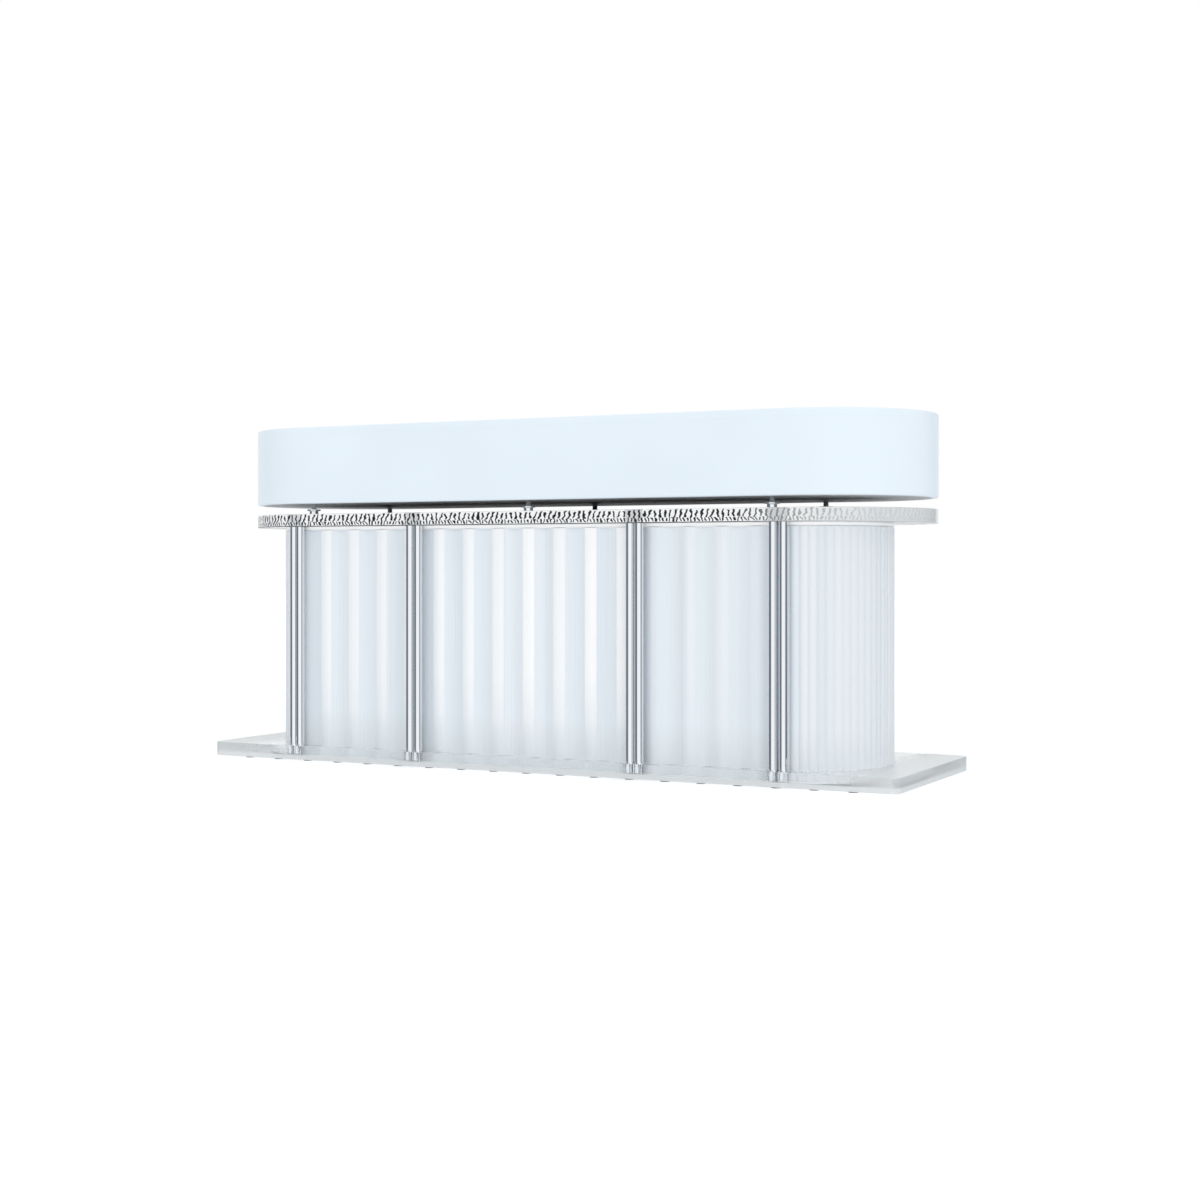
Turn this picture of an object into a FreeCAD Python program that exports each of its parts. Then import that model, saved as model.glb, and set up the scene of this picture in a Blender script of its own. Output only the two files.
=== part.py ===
import FreeCAD, Part
import math
import os
import Sketcher

# Free-standing bar counter. X runs along the front, Y from the guests to the staff, Z up.
# The origin lies on the floor under the middle of the base plate. All sizes are in millimetres.

SIZES = [
    ("base_length", 2400, "clear base plate, along the front"),
    ("base_depth", 700, "clear base plate, front to back"),
    ("base_thick", 45, "clear base plate"),
    ("base_corner", 25, "corner radius of the base plate"),
    ("pad_thick", 3, "rubber pad under the base plate"),
    ("pad_width", 30, "diameter of a pad"),
    ("pad_pitch", 118, "pad to pad along the front"),
    ("pad_inset", 20, "pad middle to the edge of the base plate"),
    ("end_reveal", 135, "base plate past each end of the panels"),
    ("front_reveal", 50, "base plate before the panels"),
    ("back_reveal", 110, "base plate behind the end panels"),
    ("end_flat", 40, "straight stretch of each rounded end"),
    ("body_height", 722, "base plate to upper plate"),
    ("rail_height", 12, "rail between panels and upper plate"),
    ("panel_depth", 20, "crest of a pleat to the inner face"),
    ("panel_gap", 1, "joint between two panels"),
    ("panel_seat", 35, "panel let into the base plate"),
    ("panel_play", 0.3, "clearance round a panel in its groove"),
    ("pleat_pitch", 109.2, "ridge to ridge on the front"),
    ("pleat_shift", 14, "ridges set to the left of the middle"),
    ("ridge_width", 40, "rounded ridge of a pleat"),
    ("ridge_drop", 4, "ridge edge behind its crest"),
    ("valley_drop", 11, "valley floor behind the crest"),
    ("reed_pitch", 27.3, "reed to reed on the ends"),
    ("reed_drop", 4, "reed edge behind its crest"),
    ("rod_width", 28, "outer diameter of a rod"),
    ("rod_wall", 2, "wall of a rod"),
    ("rod_spacing", 30, "axis to axis in a pair"),
    ("rod_ahead", 18, "rod axis before the crests"),
    ("rod_inner_share", 0.3275, "inner pair from the middle, of half the base plate"),
    ("rod_outer_share", 0.7125, "outer pair from the middle, of half the base plate"),
    ("rod_shift", 28, "all the pairs set to the left of the middle"),
    ("rod_foot", 30, "rod set into the base plate"),
    ("rod_head", 37, "rod set into the upper plate"),
    ("rod_play", 0.3, "clearance round a rod in its socket"),
    ("plug_height", 26, "threaded plug in the foot of a rod"),
    ("bolt_width", 10, "bolt up into a rod"),
    ("bolt_head", 18, "head of that bolt"),
    ("bolt_head_height", 8, "head of that bolt"),
    ("bolt_play", 0.3, "clearance round bolts and studs"),
    ("bolt_sink", 0.5, "bolt head above the underside of the base plate"),
    ("board_thick", 18, "carcass boards"),
    ("board_play", 0.5, "clearance between boards and panels"),
    ("backing_thick", 12, "board behind the front panels"),
    ("shelf_height", 345, "shelf top above the base plate"),
    ("shelf_reveal", 60, "back edge of the shelves to the back of the end panels"),
    ("pin_width", 7, "shelf pin"),
    ("pin_reach", 11, "shelf pin out of its board"),
    ("pin_seat", 10, "shelf pin into a side board"),
    ("pin_front_inset", 100, "front pins to the pleat crests"),
    ("pin_back_inset", 60, "back pins to the back edge of the shelf"),
    ("plate_thick", 42, "upper clear plate"),
    ("plate_reveal", 5, "upper plate short of the base plate all round"),
    ("gap_height", 34, "upper plate to top box"),
    ("top_reveal", 5, "top box short of the base plate all round"),
    ("top_height", 252, "top box"),
    ("deck_thick", 24, "worktop sheet"),
    ("deck_round", 4, "rounded upper edge of the worktop"),
    ("fascia_thick", 18, "fascia of the top box"),
    ("fascia_round", 5, "rounded lower edge of the fascia"),
    ("under_thick", 18, "dark board under the top box"),
    ("rib_inner_share", 0.26, "inner ribs from the middle, of the way to the outer standoffs"),
    ("rib_outer_share", 0.81, "outer ribs from the middle, of the way to the outer standoffs"),
    ("foot_width", 30, "foot of a standoff"),
    ("foot_height", 12, "foot of a standoff"),
    ("collar_width", 46, "collar of a standoff"),
    ("collar_height", 5, "collar of a standoff"),
    ("stem_width", 16, "stem of a standoff"),
    ("stud_width", 8, "stud through a standoff"),
    ("stud_spare", 4, "stud past its nuts"),
    ("nut_width", 15, "across the corners of a nut"),
    ("nut_height", 8, "nut on a stud"),
    ("standoff_past", 5, "outer standoffs past the straight run of the body, before the offset"),
    ("standoff_offset", 35, "all the standoffs set to the left of the middle"),
    ("standoff_inset", 42, "rows of standoffs to the front and back of the panels"),
    ("body_length", "=base_length - 2 * end_reveal", "over the panels, along the front"),
    ("body_front", "=base_depth / 2 - front_reveal", "front of the panels before the middle"),
    ("body_back", "=base_depth / 2 - back_reveal", "back of the end panels behind the middle"),
    ("body_corner", "=(body_front + body_back - end_flat) / 2", "radius of the rounded ends"),
    ("rod_inner", "=base_length / 2 * rod_inner_share", "inner pair from the middle"),
    ("rod_outer", "=base_length / 2 * rod_outer_share", "outer pair from the middle"),
    ("shelf_back", "=body_back - shelf_reveal", "back edge of the shelves behind the middle"),
    ("pin_front", "=body_front - pin_front_inset", "front pins before the middle"),
    ("pin_back", "=shelf_back - pin_back_inset", "back pins behind the middle"),
    ("plate_length", "=base_length - 2 * plate_reveal", "upper plate, along the front"),
    ("plate_depth", "=base_depth - 2 * plate_reveal", "upper plate, front to back"),
    ("top_length", "=base_length - 2 * top_reveal", "top box, along the front"),
    ("top_depth", "=base_depth - 2 * top_reveal", "top box, front to back"),
    ("standoff_outer", "=body_length / 2 - body_corner + standoff_past", "outer standoffs, middle to middle"),
    ("standoff_front", "=body_front - standoff_inset", "front row of standoffs before the middle"),
    ("standoff_back", "=body_back - standoff_inset", "back row of standoffs behind the middle"),
    ("rib_inner", "=standoff_outer * rib_inner_share", "inner ribs from the middle"),
    ("rib_outer", "=standoff_outer * rib_outer_share", "outer ribs from the middle"),
]

doc = FreeCAD.newDocument("bar_counter")
sheet = doc.addObject("Spreadsheet::Sheet", "Sizes")
for row, (alias, value, note) in enumerate(SIZES, start=1):
    sheet.setAlias(f"B{row}", alias)
    sheet.set(f"A{row}", note)
for row, (alias, value, note) in enumerate(SIZES, start=1):
    sheet.set(f"B{row}", str(value))
doc.recompute()

NODES = {}
V = FreeCAD.Vector


def size(alias):
    """Value of one cell of the sheet."""
    return float(sheet.get(alias))


def bind(text):
    """Expression text with each alias pointed at the sheet."""
    words = sorted((name for name, _, _ in SIZES), key=len, reverse=True)
    out, word = "", ""
    for mark in text + " ":
        if mark.isalnum() or mark == "_":
            word += mark
            continue
        out += f"Sizes.{word}" if word in words else word
        out += mark
        word = ""
    return out.strip()


def place(item, at):
    """Binds the place of an object to three expressions."""
    for axis, text in zip("xyz", at):
        item.setExpression(f"Placement.Base.{axis}", bind(text))


def keep(label, item):
    """Marks an object as a finished piece."""
    item.Label = label
    NODES[label] = item
    return item


def block(name, sizes, at):
    """Board with its low corner at a place."""
    item = doc.addObject("Part::Box", name)
    for side, text in zip(("Length", "Width", "Height"), sizes):
        item.setExpression(side, bind(text))
    place(item, at)
    return item


def peg(name, width, height, at):
    """Upright round bar of a given diameter."""
    item = doc.addObject("Part::Cylinder", name)
    item.setExpression("Radius", bind(f"({width}) / 2"))
    item.setExpression("Height", bind(height))
    place(item, at)
    return item


def lying_peg(name, width, length, at):
    """Round bar along X, from its low end."""
    item = peg(name, width, length, at)
    item.Placement = FreeCAD.Placement(V(), FreeCAD.Rotation(V(0, 1, 0), 90))
    place(item, at)
    return item


def group(name, items):
    """Pieces of one kind, kept together."""
    item = doc.addObject("Part::Compound", name)
    item.Links = items
    return item


def cut(name, base, tools):
    """A piece less its holes."""
    item = doc.addObject("Part::Cut", name)
    item.Base = base
    item.Tool = group(f"{name}_holes", tools)
    return item


def named(sketch, kind, refs, value, text):
    """Adds a dimension to a sketch and binds it."""
    index = sketch.addConstraint(Sketcher.Constraint(kind, *refs, value))
    sketch.setExpression(f"Constraints[{index}]", bind(text))


def sketch_on(body, plane, height=None):
    """Sketch on an origin plane of a body, raised to a height."""
    sketch = body.newObject("Sketcher::SketchObject", f"{body.Name}_sketch")
    face = next(f for f in body.Origin.OriginFeatures if f.Name.startswith(f"{plane}_Plane"))
    sketch.AttachmentSupport = [(face, "")]
    sketch.MapMode = "FlatFace"
    if height:
        sketch.setExpression("AttachmentOffset.Base.z", bind(height))
    return sketch


def chain(sketch, count):
    """Joins the edges of a closed outline end to end, each tangent to the next."""
    for edge in range(count):
        sketch.addConstraint(Sketcher.Constraint("Tangent", edge, 2, (edge + 1) % count, 1))


def slot_outline(sketch, centres, radius):
    """Outline with two straight sides and two half-round ends."""
    run, arc = reckon(centres) / 2, reckon(radius)
    up, quarter = V(0, 0, 1), math.pi / 2
    sketch.addGeometry(Part.LineSegment(V(-run, -arc, 0), V(run, -arc, 0)))
    sketch.addGeometry(Part.ArcOfCircle(Part.Circle(V(run, 0, 0), up, arc), -quarter, quarter))
    sketch.addGeometry(Part.LineSegment(V(run, arc, 0), V(-run, arc, 0)))
    sketch.addGeometry(Part.ArcOfCircle(Part.Circle(V(-run, 0, 0), up, arc), quarter, 3 * quarter))
    chain(sketch, 4)
    sketch.addConstraint(Sketcher.Constraint("Equal", 1, 3))
    sketch.addConstraint(Sketcher.Constraint("Horizontal", 0))
    sketch.addConstraint(Sketcher.Constraint("Symmetric", 1, 3, 3, 3, -1, 1))
    named(sketch, "DistanceX", (3, 3, 1, 3), 2 * run, centres)
    named(sketch, "Radius", (1,), arc, radius)


def corner_outline(sketch, half, front, back, corner):
    """Rectangle with four round corners, its middle on the Y axis."""
    wide, low, high, arc = (reckon(t) for t in (half, front, back, corner))
    up, quarter = V(0, 0, 1), math.pi / 2
    spots = [(wide - arc, arc - low, 3), (wide - arc, high - arc, 0),
             (arc - wide, high - arc, 1), (arc - wide, arc - low, 2)]
    corners = [Part.ArcOfCircle(Part.Circle(V(x, y, 0), up, arc), turn * quarter, (turn + 1) * quarter)
               for x, y, turn in spots]
    for before, after in zip([corners[-1]] + corners[:-1], corners):
        sketch.addGeometry(Part.LineSegment(before.EndPoint, after.StartPoint))
        sketch.addGeometry(after)
    chain(sketch, 8)
    for first, direction in ((0, "Horizontal"), (2, "Vertical"), (4, "Horizontal"), (6, "Vertical")):
        sketch.addConstraint(Sketcher.Constraint(direction, first))
    for other in (3, 5, 7):
        sketch.addConstraint(Sketcher.Constraint("Equal", 1, other))
    named(sketch, "Radius", (1,), arc, corner)
    named(sketch, "DistanceX", (-1, 1, 2, 1), wide, half)
    named(sketch, "DistanceX", (6, 1, -1, 1), wide, half)
    named(sketch, "DistanceY", (0, 1, -1, 1), low, front)
    named(sketch, "DistanceY", (-1, 1, 4, 1), high, back)


def reckon(text):
    """Value of a sum of cells, as the sheet works it out."""
    spare = doc.addObject("App::FeaturePython", "Reckoner")
    spare.addProperty("App::PropertyFloat", "Result")
    spare.setExpression("Result", bind(text))
    spare.recompute()
    value = spare.Result
    doc.removeObject(spare.Name)
    return value


def slab(name, outline, low, thick):
    """Flat sheet padded up from an outline."""
    body = doc.addObject("PartDesign::Body", name)
    sketch = sketch_on(body, "XY", low)
    outline(sketch)
    pad = body.newObject("PartDesign::Pad", f"{name}_pad")
    pad.Profile = (sketch, [""])
    sketch.Visibility = False
    pad.setExpression("Length", bind(thick))
    body.Tip = pad
    doc.recompute()
    return body


def soften(body, radius, level):
    """Rounds the edges of a body that lie at one height."""
    sheet_pad = body.Tip
    tight = size("board_play")
    edges = [f"Edge{i}" for i, edge in enumerate(sheet_pad.Shape.Edges, start=1)
             if all(abs(v.Z - level) < tight for v in edge.Vertexes)]
    fillet = body.newObject("PartDesign::Fillet", f"{body.Name}_round")
    fillet.Base = (sheet_pad, edges)
    fillet.setExpression("Radius", bind(radius))
    body.Tip = fillet
    doc.recompute()


# Heights of the storeys, as sums of cells
FLOOR = "pad_thick + base_thick"
CEILING = f"{FLOOR} + body_height"
PLATE_TOP = f"{CEILING} + plate_thick"
BOX_LOW = f"{PLATE_TOP} + gap_height"
BOX_HIGH = f"{BOX_LOW} + top_height"

# Places of the rods and the standoffs
STANDOFFS = [(f"{x} - standoff_offset", y) for y in ("-standoff_front", "standoff_back")
             for x in ("-standoff_outer", "0", "standoff_outer")]


def outline_point(along, ahead):
    """Point beside the line of the pleat crests: how far along from the middle, and how far outward."""
    way = math.copysign(1, along)
    corner = size("body_corner")
    half, front, back = size("body_length") / 2, size("body_front"), size("body_back")
    left = abs(along)
    run, bend, end = half - corner, corner * math.pi / 2, front + back - 2 * corner
    if left <= run:
        return V(way * left, -front - ahead, 0)
    left -= run
    if left <= bend:
        turn = left / corner
        reach = corner + ahead
        return V(way * (run + reach * math.sin(turn)), corner - front - reach * math.cos(turn), 0)
    left -= bend
    if left <= end:
        return V(way * (half + ahead), corner - front + left, 0)
    turn = (left - end) / corner
    reach = corner + ahead
    return V(way * (run + reach * math.cos(turn)), back - corner + reach * math.sin(turn), 0)


def outline_length():
    """From the middle of the front round to the back edge of an end panel."""
    corner = size("body_corner")
    straight = size("body_length") / 2 - corner + size("body_front") + size("body_back") - 2 * corner
    return straight + corner * math.pi


def bends():
    """Where the straight and round stretches of the outline meet, on the right half."""
    corner = size("body_corner")
    run = size("body_length") / 2 - corner
    end = size("body_front") + size("body_back") - 2 * corner
    quarter = corner * math.pi / 2
    return [run, run + quarter, run + quarter + end, run + 2 * quarter + end]


def stretch(start, stop, ahead):
    """Edges along the outline between two places, at a fixed distance from the crests."""
    stops = sorted([-b for b in bends()] + bends())
    marks = [start] + [b for b in stops if start < b < stop] + [stop]
    edges = []
    for low, high in zip(marks, marks[1:]):
        first, last = outline_point(low, ahead), outline_point(high, ahead)
        middle = outline_point((low + high) / 2, ahead)
        straight = (first + last) * (1 / 2)
        if (middle - straight).Length < size("board_play"):
            edges.append(Part.LineSegment(first, last).toShape())
        else:
            edges.append(Part.Arc(first, middle, last).toShape())
    return edges


def waves(marks):
    """Chain of arcs along the outline; each mark is a place and a distance behind the crests."""
    points = [outline_point(along, -drop) for along, drop in marks]
    return [Part.Arc(*points[i:i + 3]).toShape() for i in range(0, len(points) - 2, 2)]


def pleats(start, stop):
    """Marks of wide ridges and shallow valleys between two places on the front."""
    pitch, ridge, shift = size("pleat_pitch"), size("ridge_width"), size("pleat_shift")
    knots = [(start, None)]
    first = math.floor((start + shift) / pitch)
    for index in range(first, math.ceil((stop + shift) / pitch) + 1):
        for side, kind in ((-ridge / 2, "ridge"), (ridge / 2, "valley")):
            at = index * pitch - shift + side
            if start < at < stop:
                knots.append((at, kind))
    knots.append((stop, None))

    def drop(at):
        off = abs(at + shift - round((at + shift) / pitch) * pitch)
        half = ridge / 2
        if off <= half:
            return size("ridge_drop") * (off / half) ** 2
        rest = (pitch - ridge) / 2
        depth = size("valley_drop") - size("ridge_drop")
        return size("valley_drop") - depth * ((off - half - rest) / rest) ** 2

    marks = []
    for (low, _), (high, _) in zip(knots, knots[1:]):
        marks += [(low, drop(low)), ((low + high) / 2, drop((low + high) / 2))]
    return marks + [(stop, drop(stop))]


def reeds(start, stop):
    """Marks of equal reeds between two places on an end."""
    count = max(1, round((stop - start) / size("reed_pitch")))
    step = (stop - start) / count
    marks = []
    for index in range(count):
        low = start + index * step
        marks += [(low, size("reed_drop")), (low + step / 2, 0)]
    return marks + [(stop, size("reed_drop"))]


def panel(label, start, stop, marks):
    """Upright sheet with a shaped outer face, from the base plate to the rail."""
    outer = waves(marks(start, stop))
    inner = stretch(start, stop, -size("panel_depth"))
    ends = ((start, outer[0].Vertexes[0]), (stop, outer[-1].Vertexes[-1]))
    sides = [Part.LineSegment(vertex.Point, outline_point(at, -size("panel_depth"))).toShape()
             for at, vertex in ends]
    wire = Part.Wire(Part.__sortEdges__(outer + inner + sides))
    item = doc.addObject("Part::Feature", label)
    item.Shape = Part.Face(wire).extrude(V(0, 0, reckon("body_height - rail_height + panel_seat")))
    place(item, ("0", "0", f"{FLOOR} - panel_seat"))
    return keep(label, item)


def band(name, past, ahead, behind, height, low):
    """Level strip along the outline, from round one end to round the other."""
    stop = outline_length() + past
    sides = [Part.LineSegment(outline_point(at, ahead), outline_point(at, -behind)).toShape()
             for at in (-stop, stop)]
    rims = stretch(-stop, stop, ahead) + stretch(-stop, stop, -behind)
    wire = Part.Wire(Part.__sortEdges__(rims + sides))
    item = doc.addObject("Part::Feature", name)
    item.Shape = Part.Face(wire).extrude(V(0, 0, height))
    place(item, ("0", "0", low))
    return item


# Base plate: rounded sheet with a groove for the panels and a stepped hole under each rod
def base_outline(sketch):
    """Outline of the base plate."""
    corner_outline(sketch, "base_length / 2", "base_depth / 2", "base_depth / 2", "base_corner")


base = slab("base_sheet", base_outline, "pad_thick", "base_thick")


def rod_places():
    """Axis of every rod: pair, number in the pair, X and Y as texts for the sheet's objects."""
    spots = []
    for pair, middle in enumerate(("-outer", "-inner", "inner", "outer"), start=1):
        way = -1 if middle.startswith("-") else 1
        centre = way * size(f"rod_{middle.strip('-')}") - size("rod_shift")
        for number, side in enumerate((-1, 1), start=1):
            point = outline_point(centre + side * size("rod_spacing") / 2, size("rod_ahead"))
            spots.append((pair, number, str(point.x), str(point.y)))
    return spots


SOCKET = "rod_width + 2 * rod_play"
holes = []
for pair, number, x, y in rod_places():
    tag = f"{pair}{number}"
    holes.append(peg(f"socket_{tag}", SOCKET, "rod_foot", (x, y, f"{FLOOR} - rod_foot")))
    holes.append(peg(f"bolt_way_{tag}", "bolt_width + 2 * bolt_play", "base_thick", (x, y, "pad_thick")))
    holes.append(peg(f"bolt_seat_{tag}", "bolt_head + 2 * bolt_play", "bolt_head_height + bolt_sink",
                     (x, y, "pad_thick")))
play = size("panel_play")
holes.append(band("panel_groove", play, play, size("panel_depth") + play, size("panel_seat"),
                  f"{FLOOR} - panel_seat"))
keep("base_plate", cut("base_plate_cut", base, holes))

# Pads under the front edge, the back edge and the middle of the base plate
pads = []
pads_a_side = int(reckon("(base_length / 2 - base_corner - pad_width) / pad_pitch"))
for row, y in enumerate(("pad_inset - base_depth / 2", "0", "base_depth / 2 - pad_inset")):
    for step in range(2 * pads_a_side + 1):
        x = f"{step - pads_a_side} * pad_pitch"
        pads.append(peg(f"pad_{row}_{step}", "pad_width", "pad_thick", (x, y, "0")))
keep("base_pads", group("base_pads_all", pads))

# Carcass: floor and ceiling inside the panels, upright boards between them
INSET = "(panel_depth + board_play)"


def carcass_outline(sketch):
    """Outline of the boards that fill the ring of panels."""
    corner_outline(sketch, f"body_length / 2 - {INSET}", f"body_front - {INSET}", f"body_back - {INSET}",
                   f"body_corner - {INSET}")


keep("carcass_floor", slab("carcass_floor_body", carcass_outline, FLOOR, "board_thick"))
ceiling = slab("carcass_ceiling_sheet", carcass_outline, f"{CEILING} - board_thick", "board_thick")
STUD_WAY = "stud_width + 2 * bolt_play"
holes = [peg(f"ceiling_way_{n}", STUD_WAY, "board_thick", (x, y, f"{CEILING} - board_thick"))
         for n, (x, y) in enumerate(STANDOFFS)]
keep("carcass_ceiling", cut("carcass_ceiling_cut", ceiling, holes))

UPRIGHT = "body_height - 2 * board_thick"
STANDS_AT = f"{FLOOR} + board_thick"
BACK_EDGE = f"body_back - {INSET}"
FRONT_EDGE = f"{INSET} - body_front"
SIDE_X = "(body_length / 2 - body_corner)"
INNER_HALF = f"({SIDE_X} - board_thick)"
PIN_LEVEL = f"{FLOOR} + shelf_height - board_thick - pin_width / 2"
PIN_ROWS = ["-pin_front", "pin_back"]
pins = []
for name, way in (("left", "-1"), ("right", "1")):
    low = f"-{SIDE_X}" if name == "left" else INNER_HALF
    side = block(f"side_{name}_board", ("board_thick", f"{BACK_EDGE} - ({FRONT_EDGE})", UPRIGHT),
                 (low, FRONT_EDGE, STANDS_AT))
    seat = f"-{INNER_HALF} - pin_seat"
    start = seat if name == "left" else f"{INNER_HALF} - pin_reach"
    hole_start = seat if name == "left" else INNER_HALF
    holes = []
    for row, y in enumerate(PIN_ROWS):
        at = (start, y, PIN_LEVEL)
        pins.append(lying_peg(f"pin_{name}_{row}", "pin_width", "pin_seat + pin_reach", at))
        holes.append(lying_peg(f"pin_way_{name}_{row}", "pin_width", "pin_seat", (hole_start, y, PIN_LEVEL)))
    keep(f"carcass_side_{name}", cut(f"side_{name}_cut", side, holes))

    behind = f"{FRONT_EDGE} + backing_thick"
    divider = block(f"divider_{name}_board", ("board_thick", f"{BACK_EDGE} - ({behind})", UPRIGHT),
                    (f"{way} * rod_inner - board_thick / 2", behind, STANDS_AT))
    holes = []
    for row, y in enumerate(PIN_ROWS):
        at = (f"{way} * rod_inner - board_thick / 2 - pin_reach", y, PIN_LEVEL)
        pins.append(lying_peg(f"pin_divider_{name}_{row}", "pin_width", "board_thick + 2 * pin_reach", at))
        holes.append(lying_peg(f"pin_way_divider_{name}_{row}", "pin_width", "board_thick",
                               (f"{way} * rod_inner - board_thick / 2", y, PIN_LEVEL)))
    keep(f"carcass_divider_{name}", cut(f"divider_{name}_cut", divider, holes))

keep("carcass_backing", block("backing_board", (f"2 * {INNER_HALF}", "backing_thick", UPRIGHT),
                              (f"-{INNER_HALF}", FRONT_EDGE, STANDS_AT)))
keep("shelf_pins", group("shelf_pins_all", pins))

SHELF_DEPTH = f"shelf_back - ({FRONT_EDGE}) - backing_thick - board_play"
SHELF_Y = f"{FRONT_EDGE} + backing_thick + board_play"
SHELF_Z = f"{FLOOR} + shelf_height - board_thick"
OUTER_LOW = "rod_inner + board_thick / 2 + board_play"
OUTER_RUN = f"{INNER_HALF} - board_play - ({OUTER_LOW})"
MIDDLE_HALF = "(rod_inner - board_thick / 2 - board_play)"
keep("shelf_left", block("shelf_left_board", (OUTER_RUN, SHELF_DEPTH, "board_thick"),
                         (f"board_play - {INNER_HALF}", SHELF_Y, SHELF_Z)))
keep("shelf_middle", block("shelf_middle_board", (f"2 * {MIDDLE_HALF}", SHELF_DEPTH, "board_thick"),
                           (f"-{MIDDLE_HALF}", SHELF_Y, SHELF_Z)))
keep("shelf_right", block("shelf_right_board", (OUTER_RUN, SHELF_DEPTH, "board_thick"),
                          (OUTER_LOW, SHELF_Y, SHELF_Z)))

# Panels: three pleated bays on the front, a reeded sheet round each end, and a rail along their tops
joint, whole = size("panel_gap") / 2, outline_length()
seams = [reckon(f"{place} - rod_shift") for place in ("-rod_outer", "-rod_inner", "rod_inner", "rod_outer")]
for name, start, stop in zip(("left", "middle", "right"), seams, seams[1:]):
    panel(f"front_panel_{name}", start + joint, stop - joint, pleats)
panel("end_panel_left", -whole, seams[0] - joint, reeds)
panel("end_panel_right", seams[-1] + joint, whole, reeds)

keep("top_rail", band("top_rail", 0, 0, size("panel_depth"), size("rail_height"), f"{CEILING} - rail_height"))

# Chrome rods in pairs, with a threaded plug and a bolt in each foot
plugs, bolts = [], []
for pair in range(1, 5):
    tubes = []
    for number, x, y in [spot[1:] for spot in rod_places() if spot[0] == pair]:
        tag = f"{pair}{number}"
        foot = f"{FLOOR} - rod_foot"
        run = "body_height + rod_foot + rod_head"
        tube = doc.addObject("Part::Cut", f"rod_{tag}")
        tube.Base = peg(f"rod_bar_{tag}", "rod_width", run, (x, y, foot))
        tube.Tool = peg(f"rod_bore_{tag}", "rod_width - 2 * rod_wall", run, (x, y, foot))
        tubes.append(tube)
        plug = doc.addObject("Part::Cut", f"plug_{tag}")
        plug.Base = peg(f"plug_bar_{tag}", "rod_width - 2 * (rod_wall + rod_play)", "plug_height",
                        (x, y, foot))
        plug.Tool = peg(f"plug_bore_{tag}", "bolt_width + 2 * bolt_play", "plug_height", (x, y, foot))
        plugs.append(plug)
        bolt = doc.addObject("Part::Fuse", f"bolt_{tag}")
        bolt.Base = peg(f"bolt_head_{tag}", "bolt_head", "bolt_head_height", (x, y, "pad_thick + bolt_sink"))
        bolt.Tool = peg(f"bolt_shank_{tag}", "bolt_width", "base_thick - rod_foot - bolt_sink + plug_height",
                        (x, y, "pad_thick + bolt_sink"))
        bolts.append(bolt)
    keep(f"rod_pair_{pair}", group(f"rod_pair_{pair}_all", tubes))
keep("rod_plugs", group("rod_plugs_all", plugs))
keep("rod_bolts", group("rod_bolts_all", bolts))


# Upper plate: half-round ends as on the top box, blind sockets for the rods and ways for the studs
def plate_outline(sketch):
    """Outline of the upper plate."""
    slot_outline(sketch, "plate_length - plate_depth", "plate_depth / 2")


plate = slab("upper_sheet", plate_outline, CEILING, "plate_thick")
holes = [peg(f"head_socket_{pair}{number}", SOCKET, "rod_head + rod_play", (x, y, CEILING))
         for pair, number, x, y in rod_places()]
holes += [peg(f"plate_way_{n}", STUD_WAY, "plate_thick", (x, y, CEILING))
          for n, (x, y) in enumerate(STANDOFFS)]
keep("upper_plate", cut("upper_plate_cut", plate, holes))


def standoff(n, x, y):
    """Turned sleeve: foot on the plate, wide collar, thin stem up to the top box."""
    parts = [peg(f"foot_{n}", "foot_width", "foot_height", (x, y, PLATE_TOP)),
             peg(f"collar_{n}", "collar_width", "collar_height", (x, y, f"{PLATE_TOP} + foot_height")),
             peg(f"stem_{n}", "stem_width", "gap_height", (x, y, PLATE_TOP))]
    whole_bar = doc.addObject("Part::MultiFuse", f"standoff_bar_{n}")
    whole_bar.Shapes = parts
    sleeve = doc.addObject("Part::Cut", f"standoff_{n}")
    sleeve.Base = whole_bar
    sleeve.Tool = peg(f"standoff_bore_{n}", STUD_WAY, "gap_height", (x, y, PLATE_TOP))
    return sleeve


def nut(name, x, y, z):
    """Six-sided nut with its hole."""
    hexagon = doc.addObject("Part::Prism", f"{name}_hexagon")
    hexagon.Polygon = 6
    hexagon.setExpression("Circumradius", bind("nut_width / 2"))
    hexagon.setExpression("Height", bind("nut_height"))
    place(hexagon, (x, y, z))
    ring_nut = doc.addObject("Part::Cut", name)
    ring_nut.Base = hexagon
    ring_nut.Tool = peg(f"{name}_hole", STUD_WAY, "nut_height", (x, y, z))
    return ring_nut


STUD_LOW = f"{CEILING} - board_thick - nut_height - stud_spare"
STUD_RUN = "board_thick + plate_thick + gap_height + under_thick + 2 * nut_height + 2 * stud_spare"
sleeves = [standoff(n, x, y) for n, (x, y) in enumerate(STANDOFFS)]
studs = [peg(f"stud_{n}", "stud_width", STUD_RUN, (x, y, STUD_LOW)) for n, (x, y) in enumerate(STANDOFFS)]
lower = [nut(f"lower_nut_{n}", x, y, f"{CEILING} - board_thick - nut_height")
         for n, (x, y) in enumerate(STANDOFFS)]
upper = [nut(f"upper_nut_{n}", x, y, f"{BOX_LOW} + under_thick")
         for n, (x, y) in enumerate(STANDOFFS)]
keep("standoffs", group("standoffs_all", sleeves))
keep("standoff_studs", group("standoff_studs_all", studs))
keep("lower_nuts", group("lower_nuts_all", lower))
keep("upper_nuts", group("upper_nuts_all", upper))

# Top box: worktop sheet on a ring of fascias, dark board let in from below, ribs between the two
def top_outline(sketch):
    """Outline of the worktop."""
    slot_outline(sketch, "top_length - top_depth", "top_depth / 2")


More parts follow.
